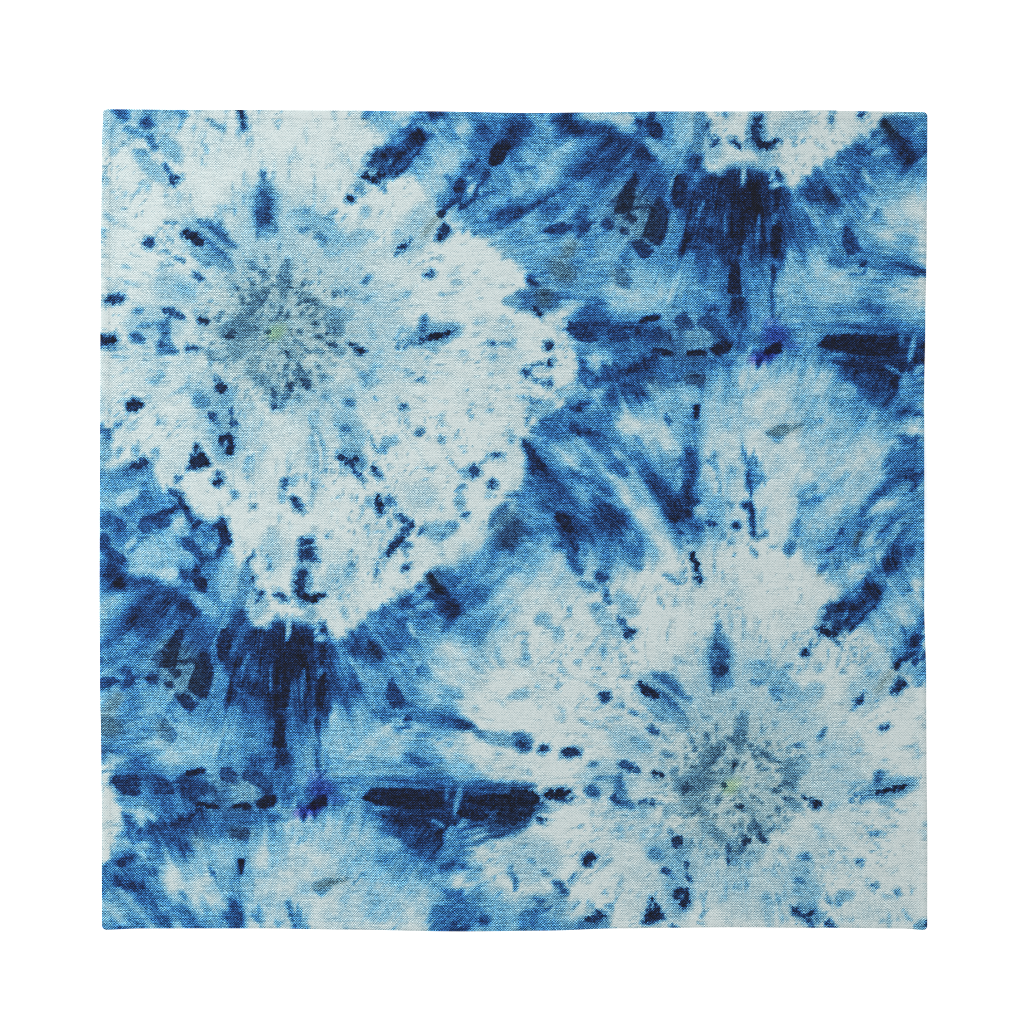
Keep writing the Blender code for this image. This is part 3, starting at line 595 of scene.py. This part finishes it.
def shard_distance(x, y, corners):
    """Distance in mm inside a shard's edge; outside it is negative."""
    centre_x = sum(corner[0] for corner in corners) / len(corners)
    centre_y = sum(corner[1] for corner in corners) / len(corners)
    dx, dy = burst_offset(x, y, centre_x, centre_y)
    distance = np.full_like(dx, 1e6)
    inside = np.zeros(dx.shape, dtype=bool)
    for (start_x, start_y), (end_x, end_y) in zip(corners, corners[1:] + corners[:1]):
        start_x, end_x = start_x - centre_x, end_x - centre_x
        start_y, end_y = start_y - centre_y, end_y - centre_y
        run_x, run_y = end_x - start_x, end_y - start_y
        share = ((dx - start_x) * run_x + (dy - start_y) * run_y) / (run_x**2 + run_y**2)
        share = np.clip(share, 0.0, 1.0)
        away = np.hypot(dx - start_x - share * run_x, dy - start_y - share * run_y)
        distance = np.minimum(distance, away)
        if start_y != end_y:
            crosses = (start_y > dy) != (end_y > dy)
            at = start_x + (dy - start_y) * run_x / run_y
            inside ^= crosses & (dx < at)
    return np.where(inside, distance, -distance)


def disc_share(x, y):
    """1 in the pale disc round the nearest burst, 0 outside it."""
    share = np.zeros_like(x)
    directions = np.array([row[0] for row in DISC_EDGE], dtype=float)
    radii = np.array([row[1] for row in DISC_EDGE], dtype=float)
    softness = np.array([row[2] for row in DISC_EDGE], dtype=float)
    dx, dy = burst_offset(x, y)
    for step_x, step_y in ((0, 0), (1, 1), (1, -1), (-1, 1), (-1, -1)):
        near_x = dx - step_x * REPEAT_ACROSS
        near_y = dy - step_y * REPEAT_DOWN
        direction = np.degrees(np.arctan2(near_y, near_x)) % 360
        edge = np.interp(direction, directions, radii)
        soft = np.interp(direction, directions, softness)
        share = np.maximum(share, smooth(0.5 + (edge - np.hypot(near_x, near_y)) / (2 * soft)))
    return share


def streaks(x, y, seed, across, along):
    """Noise drawn out along the lines that run from the nearest burst."""
    dx, dy = fan_lines(x, y)
    radius = np.hypot(dx, dy)
    angle = np.arctan2(dy, dx)
    total = np.zeros_like(x)
    weights = np.zeros_like(x)
    for ring, middle in enumerate((15, 30, 60, 120, 240)):
        weight = np.clip(1 - np.abs(np.log2(np.maximum(radius, 1) / middle)), 0, 1)
        turns = max(round(2 * math.pi * middle / across), 4)
        round_it = (angle / (2 * math.pi) + 0.5) * turns
        total += weight * noise(round_it, radius / along, seed + ring, turns)
        weights += weight
    return np.where(weights > 0, total / np.maximum(weights, 1e-6), 0.5)


def blend(dye, target, share):
    return dye + (target - dye) * share


def soft_share(distance, width, outside=0.0):
    """1 well inside a soft stroke and 0 outside it; a wide stroke ends more softly."""
    fade = 0.9 + (0.16 + 0.12 * outside) * width
    return smooth(0.5 + distance / (2 * fade))


def combed(x, y, seed, across, along, shift):
    """Places drawn out along the burst's lines, so that what is painted there ends in streaks."""
    dx, dy = fan_lines(x, y)
    radius = np.maximum(np.hypot(dx, dy), 1.0)
    slide = shift * (streaks(x, y, seed, across, along) - 0.5)
    return x + slide * dx / radius, y + slide * dy / radius


def ground_dye(x, y):
    """The cloth's soft dye before the marks: the blue ground, its patches and the pale disc."""
    bent_x, bent_y = combed(x, y, 11, 4.0, 60.0, 24.0)
    bent_x = bent_x + 6 * (cloudy(x / 15, y / 15, 16) - 0.5)
    bent_y = bent_y + 6 * (cloudy(x / 15, y / 15, 21) - 0.5)
    dye = np.full_like(x, BLUE_GROUND)
    for oval in GROUND:
        distance = oval_distance(bent_x, bent_y, oval[:5])
        dye = blend(dye, oval[5], smooth(0.5 + distance / (5 + 0.45 * oval[3])))
    lines = 0.6 * streaks(x, y, 31, 2.8, 34.0) + 0.4 * streaks(x, y, 36, 7.0, 60.0)
    dye += 0.38 * (lines - 0.5) * smooth((dye - 0.06) / 0.42)
    dye += 0.30 * (cloudy(x / 9, y / 9, 41) - 0.5)

    bent_x, bent_y = combed(x, y, 51, 3.4, 18.0, 9.0)
    bent_x = bent_x + 5 * (cloudy(x / 6, y / 6, 56) - 0.5)
    bent_y = bent_y + 5 * (cloudy(x / 6, y / 6, 61) - 0.5)
    disc = disc_share(bent_x, bent_y)
    dx, dy = nearest_burst(x, y)
    radius = np.hypot(dx, dy)
    fibres = streaks(x, y, 66, 2.2, 7.0)
    patches = 0.55 * cloudy(x / 8, y / 8, 71) + 0.45 * fibres
    pale = np.interp(radius, DISC_RADII, DISC_TONES) + 0.30 * smooth((patches - 0.5) / 0.4)
    pale += 0.22 * (cloudy(x / 22, y / 22, 76) - 0.48)
    ridges = smooth(1 - abs(cloudy(bent_x / 7, bent_y / 7, 141) - 0.5) / 0.05)
    branches = ridges * smooth((cloudy(x / 16, y / 16, 146) - 0.54) / 0.12)
    pale += 0.24 * branches * smooth((radius - 70) / 40)
    ring = smooth((radius - 4) / 8) * smooth((64 - radius) / 26)
    specks = 0.5 * streaks(x, y, 81, 2.4, 5.0) + 0.5 * cloudy(x / 3.5, y / 3.5, 91)
    pale = pale + 0.40 * ring * smooth((specks - 0.49) / 0.24)
    return blend(dye, pale, disc)


def stroked_dye(x, y, dye):
    """The soft strokes, laid over the soft ground."""
    outside = 1 - disc_share(x, y)
    bent_x, bent_y = combed(x, y, 101, 2.6, 16.0, 3.5 + 8.5 * outside)
    bent_x = bent_x + 3.4 * (cloudy(x / 4, y / 4, 106) - 0.5)
    bent_y = bent_y + 3.4 * (cloudy(x / 4, y / 4, 111) - 0.5)
    for oval in STROKES:
        share = soft_share(oval_distance(bent_x, bent_y, oval[:5]), oval[3], outside)
        dye = np.maximum(dye, blend(dye, oval[5], share))
    return dye


def marks(x, y):
    """For the crisp marks: distance inside the nearest edge, in mm, and that mark's dye."""
    bent_x = x + 2.4 * (cloudy(x / 3.6, y / 3.6, 121) - 0.5)
    bent_y = y + 2.4 * (cloudy(x / 3.6, y / 3.6, 131) - 0.5)
    inside = np.full_like(x, -9.0)
    depth = np.full_like(x, 0.8)
    found = [(oval_distance(bent_x, bent_y, oval[:5]), oval[5]) for oval in BLOTS]
    bent_x = 0.6 * x + 0.4 * bent_x
    bent_y = 0.6 * y + 0.4 * bent_y
    found += [(shard_distance(bent_x, bent_y, corners), dye) for dye, corners in SHARDS]
    for distance, dye in found:
        depth = np.where(distance > inside, dye, depth)
        inside = np.maximum(inside, distance)
    return inside, depth


def gaps_opened(x, y, dye, inside):
    """The light gaps, cut out of the soft dye and of the marks."""
    for oval in GAPS:
        distance = oval_distance(x, y, oval[:5])
        share = soft_share(distance, oval[3] / 2)
        dye = blend(dye, oval[5], share)
        inside = np.minimum(inside, np.where(share > 0.05, -distance, inside))
    return dye, inside


def patch_amount(x, y, patches):
    """How strongly a tint shows: the strongest of its soft patches."""
    amount = np.zeros_like(x)
    for patch in patches:
        share = soft_share(oval_distance(x, y, patch[:5]), patch[3] * 1.4)
        amount = np.maximum(amount, patch[5] * share)
    return amount


def dye_fields(x, y):
    """What the material reads at each point: dye, marks, tints and the lines of the burst."""
    dye = stroked_dye(x, y, ground_dye(x, y))
    dye = dye + 0.11 * (dye - 0.22)
    for patch in GREY_WASH:
        share = soft_share(oval_distance(x, y, patch[:5]), patch[3] / 2)
        dye = blend(dye, patch[5], share)
    inside, depth = marks(x, y)
    dye, inside = gaps_opened(x, y, dye, inside)
    dx, dy = fan_lines(x, y)
    radius = np.maximum(np.hypot(dx, dy), 0.5)
    tints = [patch_amount(x, y, patches) for patches in (GREY, VIOLET, YELLOW)]
    return {
        "dye": np.stack([dye, inside, depth], axis=-1),
        "tint": np.stack(tints, axis=-1),
        "run": np.stack([dx / radius, dy / radius, radius / 100], axis=-1),
    }


def underside_faces(count_x, count_y, place):
    """Coarse faces under the cloth; those at the rim take in every point of the rim."""
    faces = []
    for row in range(0, count_y - 1, UNDERSIDE_STEP):
        for column in range(0, count_x - 1, UNDERSIDE_STEP):
            right = column + UNDERSIDE_STEP
            top = row + UNDERSIDE_STEP
            steps = range(UNDERSIDE_STEP)
            corners = []
            low = steps if row == 0 else (0,)
            corners += [place[row, column + step] for step in low]
            east = steps if right == count_x - 1 else (0,)
            corners += [place[row + step, right] for step in east]
            high = steps if top == count_y - 1 else (0,)
            corners += [place[top, right - step] for step in high]
            west = steps if column == 0 else (0,)
            corners += [place[top - step, column] for step in west]
            faces.append([int(corner) for corner in reversed(corners)])
    return faces


def cloth_mesh():
    """The cloth as one closed thin sheet: a fine face, a coarse underside and the rim between."""
    columns = grid_lines(WIDTH)
    rows = grid_lines(DEPTH)
    straight_x, straight_y = np.meshgrid(columns, rows)
    inset = np.minimum(WIDTH / 2 - np.abs(straight_x), DEPTH / 2 - np.abs(straight_y))
    insets = np.array([row[0] for row in HEM_SECTION]) * MM
    heights = np.array([row[1] for row in HEM_SECTION]) * MM
    x, y = laid_out(straight_x, straight_y)
    low = lift(x, y)
    high = low + np.interp(inset, insets, heights)
    x -= (x.min() + x.max()) / 2
    y -= (y.min() + y.max()) / 2

    count_y, count_x = x.shape
    rim = np.zeros(x.shape, dtype=bool)
    rim[0, :] = rim[-1, :] = rim[:, 0] = rim[:, -1] = True
    kept = rim.copy()
    kept[::UNDERSIDE_STEP, ::UNDERSIDE_STEP] = True
    face = np.arange(x.size).reshape(x.shape)
    under = np.full(x.shape, -1)
    under[kept] = x.size + np.arange(kept.sum())

    points = np.concatenate([
        np.stack([x.ravel(), y.ravel(), high.ravel()], axis=-1),
        np.stack([x[kept], y[kept], low[kept]], axis=-1),
    ])
    quads = np.stack([face[:-1, :-1], face[:-1, 1:], face[1:, 1:], face[1:, :-1]], axis=-1)
    faces = quads.reshape(-1, 4).tolist()
    faces += underside_faces(count_x, count_y, under)
    around = [(0, k) for k in range(count_x - 1)]
    around += [(k, count_x - 1) for k in range(count_y - 1)]
    around += [(count_y - 1, k) for k in range(count_x - 1, 0, -1)]
    around += [(k, 0) for k in range(count_y - 1, 0, -1)]
    for here, ahead in zip(around, around[1:] + around[:1]):
        faces.append([int(under[here]), int(under[ahead]), int(face[ahead]), int(face[here])])

    mesh = bpy.data.meshes.new("bandana")
    mesh.from_pydata(points.tolist(), [], faces)
    mesh.update()
    mesh.shade_smooth()
    flat_x = np.concatenate([straight_x.ravel(), straight_x[kept]])
    flat_y = np.concatenate([straight_y.ravel(), straight_y[kept]])
    store_fields(mesh, points, np.concatenate([inset.ravel(), inset[kept]]), x.size)
    return mesh


def store_fields(mesh, points, inset, face_points):
    """Stores the dye's fields and the place across the hem at the mesh's points."""
    middle_x, middle_y = CLOTH_MIDDLE_PX
    burst_x = (BURST_PX[0] - middle_x) * MM_PER_PX
    burst_y = (middle_y - BURST_PX[1]) * MM_PER_PX
    fields = dye_fields(points[:, 0] / MM - burst_x, points[:, 1] / MM - burst_y)
    under = np.zeros(len(points))
    under[face_points:] = 1.0
    in_disc = disc_share(points[:, 0] / MM - burst_x, points[:, 1] / MM - burst_y)
    fields["edge"] = np.stack([inset / MM, under, in_disc], axis=-1)
    for name, values in fields.items():
        attribute = mesh.attributes.new(name, "FLOAT_VECTOR", "POINT")
        attribute.data.foreach_set("vector", values.astype(np.float32).ravel())


class Shading:
    """Adds nodes to a material, one call for each."""

    def __init__(self, material):
        material.use_nodes = True
        self.nodes = material.node_tree.nodes
        self.links = material.node_tree.links
        self.shader = self.nodes["Principled BSDF"]

    def put(self, socket, value):
        if isinstance(value, bpy.types.NodeSocket):
            self.links.new(value, socket)
        else:
            socket.default_value = value

    def math(self, operation, *values, clamp=False):
        node = self.nodes.new("ShaderNodeMath")
        node.operation = operation
        node.use_clamp = clamp
        for socket, value in zip(node.inputs, values):
            self.put(socket, value)
        return node.outputs[0]

    def scale(self, vector, factors):
        node = self.nodes.new("ShaderNodeVectorMath")
        node.operation = "MULTIPLY"
        self.put(node.inputs[0], vector)
        node.inputs[1].default_value = factors
        return node.outputs[0]

    def attribute(self, name):
        node = self.nodes.new("ShaderNodeAttribute")
        node.attribute_name = name
        split = self.nodes.new("ShaderNodeSeparateXYZ")
        self.links.new(node.outputs["Vector"], split.inputs[0])
        return node.outputs["Vector"], split.outputs

    def noise(self, vector, scale, detail):
        node = self.nodes.new("ShaderNodeTexNoise")
        self.links.new(vector, node.inputs["Vector"])
        node.inputs["Scale"].default_value = scale
        node.inputs["Detail"].default_value = detail
        return node.outputs["Fac"]

    def between(self, value, low, high):
        """0 below low, 1 above high, smooth between them."""
        node = self.nodes.new("ShaderNodeMapRange")
        node.interpolation_type = "SMOOTHSTEP"
        self.put(node.inputs["Value"], value)
        node.inputs["From Min"].default_value = low
        node.inputs["From Max"].default_value = high
        return node.outputs["Result"]

    def mix(self, share, low, high):
        """low + (high - low) * share, for numbers."""
        return self.math("MULTIPLY_ADD", self.math("SUBTRACT", high, low), share, low)

    def mix_colour(self, share, low, high, blend_type="MIX"):
        node = self.nodes.new("ShaderNodeMix")
        node.data_type = "RGBA"
        node.blend_type = blend_type
        self.put(node.inputs["Factor"], share)
        self.put(node.inputs[6], low)
        self.put(node.inputs[7], high)
        return node.outputs[2]

    def ramp(self, value, stops):
        node = self.nodes.new("ShaderNodeValToRGB")
        self.links.new(value, node.inputs["Fac"])
        elements = node.color_ramp.elements
        while len(elements) < len(stops):
            elements.new(0.5)
        for element, (place, colour) in zip(elements, stops):
            element.position = place
            element.color = reflected(colour)
        return node.outputs["Color"]


# The dye's colour as it gets denser, as a screen shows it
DYE_COLOURS = (
    (0.00, (214, 226, 226)), (0.09, (187, 210, 214)), (0.17, (158, 198, 213)),
    (0.25, (131, 187, 213)), (0.33, (108, 173, 205)), (0.42, (86, 152, 193)),
    (0.50, (67, 136, 186)), (0.58, (52, 117, 172)), (0.66, (42, 98, 158)),
    (0.74, (35, 79, 138)), (0.82, (28, 58, 109)), (0.90, (24, 40, 77)),
    (1.00, (22, 25, 36)),
)
GREY_COLOURS = (
    (0.00, (212, 220, 215)), (0.20, (158, 184, 186)), (0.40, (106, 144, 154)),
    (0.60, (66, 100, 112)), (0.80, (36, 56, 68)), (1.00, (18, 21, 26)),
)
VIOLET_CAST = (0.95, 0.48, 1.0, 1.0)
YELLOW_CAST = (0.96, 1.0, 0.62, 1.0)
# How brightly the cloth is lit, against a screen's white
LIGHT_LEVEL = 1.24

# The plain weave: threads to the metre, how far the warp leans, and the cloth's unevenness
THREADS = 1150.0
WARP_LEAN = 0.11
# The contrast of the weave's painted shade and highlight and of the threads' uneven tone on bare cotton, and how it
# grows with the dye, then falls again
WEAVE_CONTRAST = 0.07
DYED_CONTRAST = 1.06
MOST_CONTRAST = 1.02
DENSE_CONTRAST = -0.57
# How far the threads shift along the dye's colours, the raised threads lighter: partly uneven dye, partly a painted
# highlight on the raised threads
THREAD_DYE_AND_HIGHLIGHT = 0.085


def reflected(colour):
    """The share of light that the cloth reflects for a colour as a screen shows it."""
    shares = [((channel / 255 + 0.055) / 1.055) ** 2.4 / LIGHT_LEVEL for channel in colour]
    return (*shares, 1.0)


def weave(shading, place):
    """The threads' light and dark, about 0: crossings of two sets, which give the relief and its painted shade and
    highlight, and an uneven tone, some threads brighter than others.
    """
    split = shading.nodes.new("ShaderNodeSeparateXYZ")
    shading.links.new(place, split.inputs[0])
    across, up = split.outputs[0], split.outputs[1]
    wobble = shading.math("SUBTRACT", shading.noise(place, 130.0, 2.0), 0.5)
    lean = shading.math("MULTIPLY_ADD", up, WARP_LEAN, across)
    warp = shading.math("MULTIPLY_ADD", wobble, 3.0, shading.math("MULTIPLY", lean, THREADS))
    weft = shading.math("MULTIPLY_ADD", wobble, 2.2, shading.math("MULTIPLY", up, THREADS * 1.02))
    over = shading.math(
        "MULTIPLY",
        shading.math("SINE", shading.math("MULTIPLY", warp, math.pi)),
        shading.math("SINE", shading.math("MULTIPLY", weft, math.pi)),
    )
    cell = shading.nodes.new("ShaderNodeCombineXYZ")
    shading.links.new(shading.math("FLOOR", warp), cell.inputs[0])
    shading.links.new(shading.math("FLOOR", weft), cell.inputs[1])
    chance = shading.nodes.new("ShaderNodeTexWhiteNoise")
    chance.noise_dimensions = "2D"
    shading.links.new(cell.outputs[0], chance.inputs["Vector"])
    crossing = shading.math("SUBTRACT", chance.outputs["Value"], 0.5)
    slub = shading.noise(shading.scale(place, (70.0, 1150.0, 1.0)), 1.0, 0.0)
    lines = shading.math("MULTIPLY", shading.math("SUBTRACT", slub, 0.5), 0.9)
    pairs = shading.math("SINE", shading.math("MULTIPLY_ADD", weft, math.pi, 0.9))
    lines = shading.math("MULTIPLY_ADD", pairs, 0.17, lines)
    uneven = shading.math("MULTIPLY_ADD", crossing, 0.6, lines)
    return over, uneven


def dye_density(shading, place, in_disc):
    """The dye at a point: the soft dye with its fibres, then the crisp marks with ragged edges."""
    _, (soft, inside, depth) = shading.attribute("dye")
    run, _ = shading.attribute("run")
    lines = shading.noise(shading.scale(run, (95.0, 95.0, 5.0)), 1.0, 2.0)
    fibre = shading.noise(place, 850.0, 2.0)
    cloud = shading.noise(place, 300.0, 2.0)
    busy = shading.between(soft, 0.05, 0.42)
    reach = shading.math("MULTIPLY_ADD", busy, 0.30, 0.05)
    soft = shading.math("MULTIPLY_ADD", shading.math("SUBTRACT", lines, 0.5), reach, soft)
    reach = shading.math("MULTIPLY", reach, 0.6)
    soft = shading.math("MULTIPLY_ADD", shading.math("SUBTRACT", cloud, 0.5), reach, soft)
    reach = shading.math("MULTIPLY_ADD", in_disc, 4.2, 1.2)
    ragged = shading.math("MULTIPLY_ADD", shading.math("SUBTRACT", cloud, 0.5), reach, inside)
    halo = shading.math("MULTIPLY", shading.between(ragged, -5.0, 1.5), 0.66)
    soft = shading.math("MAXIMUM", soft, shading.math("MULTIPLY", halo, depth))
    reach = shading.math("MULTIPLY_ADD", in_disc, 2.2, 1.8)
    edge = shading.math("MULTIPLY_ADD", shading.math("SUBTRACT", fibre, 0.5), reach, ragged)
    core = shading.between(edge, -1.5, 1.1)
    depth = shading.math("MULTIPLY_ADD", shading.math("SUBTRACT", cloud, 0.5), 0.3, depth)
    dye = shading.mix(core, soft, depth)
    reach = shading.math("MULTIPLY_ADD", shading.between(dye, 0.06, 0.4), 0.26, 0.08)
    return shading.math("MULTIPLY_ADD", shading.math("SUBTRACT", fibre, 0.5), reach, dye)


def dyed_cotton():
    material = bpy.data.materials.new("dyed_cotton")
    shading = Shading(material)
    shader = shading.shader
    texture = shading.nodes.new("ShaderNodeTexCoord")
    place = texture.outputs["Object"]
    over, uneven = weave(shading, place)
    _, (inset, under, in_disc) = shading.attribute("edge")
    dye = dye_density(shading, place, in_disc)
    _, (grey, violet, yellow) = shading.attribute("tint")

    # The hem band, out to about 5 mm from the side, drawn a little lighter
    hem = shading.math("SUBTRACT", 1.0, shading.between(inset, 4.9, 5.6))
    dye = shading.math("MULTIPLY_ADD", hem, -0.035, dye)
    dye = shading.math("MULTIPLY_ADD", under, -0.16, dye)
    threads = shading.math("ADD", over, uneven)
    # Raised threads drawn lighter along the dye's colours: partly uneven dye, partly a painted highlight
    dye_with_thread_highlight = shading.math("MULTIPLY_ADD", threads, -THREAD_DYE_AND_HIGHLIGHT, dye)
    colour = shading.ramp(dye_with_thread_highlight, DYE_COLOURS)
    grey_colour = shading.ramp(dye_with_thread_highlight, GREY_COLOURS)
    dull = shading.math("MULTIPLY_ADD", grey, 0.85, shading.math("MULTIPLY", in_disc, 0.21), clamp=True)
    colour = shading.mix_colour(dull, colour, grey_colour)
    colour = shading.mix_colour(violet, colour, VIOLET_CAST, "MULTIPLY")
    colour = shading.mix_colour(yellow, colour, YELLOW_CAST, "MULTIPLY")

    # Painted weave shade and highlight: the threads that the bump raises drawn lighter, the low ones darker, together
    # with the threads' uneven tone
    contrast = shading.math("MULTIPLY_ADD", dye, DYED_CONTRAST, WEAVE_CONTRAST)
    dense = shading.math("MULTIPLY_ADD", dye, DENSE_CONTRAST, MOST_CONTRAST)
    contrast = shading.math("MINIMUM", contrast, dense)
    weave_shade_and_tone = shading.math("MULTIPLY_ADD", threads, contrast, 0.97)
    weave_shade_and_tone = shading.math("MAXIMUM", weave_shade_and_tone, 0.08)
    weave_shade_and_tone = shading.math("MINIMUM", weave_shade_and_tone, shading.math("MULTIPLY_ADD", dye, 1.0, 1.25))
    light = shading.math("POWER", weave_shade_and_tone, 2.2)
    tone = shading.nodes.new("ShaderNodeCombineXYZ")
    for socket in tone.inputs:
        shading.links.new(light, socket)
    # The colour times the painted weave shade and highlight and the uneven thread tone
    colour = shading.mix_colour(1.0, colour, tone.outputs[0], "MULTIPLY")
    shading.put(shader.inputs["Base Color"], colour)
    shader.inputs["Roughness"].default_value = 0.92
    shader.inputs["Specular IOR Level"].default_value = 0.15
    shader.inputs["Sheen Weight"].default_value = 0.03

    bump = shading.nodes.new("ShaderNodeBump")
    bump.inputs["Strength"].default_value = 0.3
    bump.inputs["Distance"].default_value = 0.1 * MM
    shading.links.new(over, bump.inputs["Height"])
    shading.links.new(bump.outputs[0], shader.inputs["Normal"])
    return material


def white_floor():
    half = 4.0
    mesh = bpy.data.meshes.new("white_table")
    # A tenth of a millimetre below the cloth, so that the two surfaces never coincide
    low = -0.1 * MM
    corners = [(-half, -half, low), (half, -half, low), (half, half, low), (-half, half, low)]
    mesh.from_pydata(corners, [], [(0, 1, 2, 3)])
    material = bpy.data.materials.new("white_paper")
    shader = Shading(material).shader
    shader.inputs["Base Color"].default_value = (0.92, 0.92, 0.92, 1.0)
    shader.inputs["Roughness"].default_value = 1.0
    shader.inputs["Specular IOR Level"].default_value = 0.0
    shader.inputs["Emission Color"].default_value = (1.0, 1.0, 1.0, 1.0)
    shader.inputs["Emission Strength"].default_value = 0.3
    mesh.materials.append(material)
    floor = bpy.data.objects.new("white_table", mesh)
    bpy.context.scene.collection.objects.link(floor)
    return floor


def even_light():
    world = bpy.data.worlds.new("studio")
    world.use_nodes = True
    background = world.node_tree.nodes["Background"]
    background.inputs["Color"].default_value = (1.0, 1.0, 1.0, 1.0)
    background.inputs["Strength"].default_value = 0.85
    bpy.context.scene.world = world
    lamp = bpy.data.lights.new("window", "AREA")
    lamp.shape = "DISK"
    lamp.size = 0.65
    lamp.energy = 12.0
    window = bpy.data.objects.new("window", lamp)
    window.location = (-0.93, 0.50, 1.07)
    window.rotation_euler = window.location.to_track_quat("Z", "Y").to_euler()
    bpy.context.scene.collection.objects.link(window)


def camera_above():
    data = bpy.data.cameras.new("camera")
    data.lens = 120.0
    data.sensor_width = 36.0
    camera = bpy.data.objects.new("camera", data)
    frame_width = FRAME_PX * MM_PER_PX * MM
    middle_x, middle_y = CLOTH_MIDDLE_PX
    camera.location = (
        (FRAME_PX / 2 - middle_x) * MM_PER_PX * MM,
        (middle_y - FRAME_PX / 2) * MM_PER_PX * MM,
        frame_width * data.lens / data.sensor_width,
    )
    bpy.context.scene.collection.objects.link(camera)
    bpy.context.scene.camera = camera


mesh = cloth_mesh()
mesh.materials.append(dyed_cotton())
bandana = bpy.data.objects.new("bandana", mesh)
bpy.context.scene.collection.objects.link(bandana)
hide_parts("bandana_cloth")
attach(bandana, "root")
floor = white_floor()

even_light()
camera_above()
bpy.context.scene.view_settings.view_transform = "Standard"
# Denoising would wipe out the weave, and the even light needs none
bpy.context.scene.cycles.use_denoising = False
bpy.context.scene.cycles.filter_width = 1.0
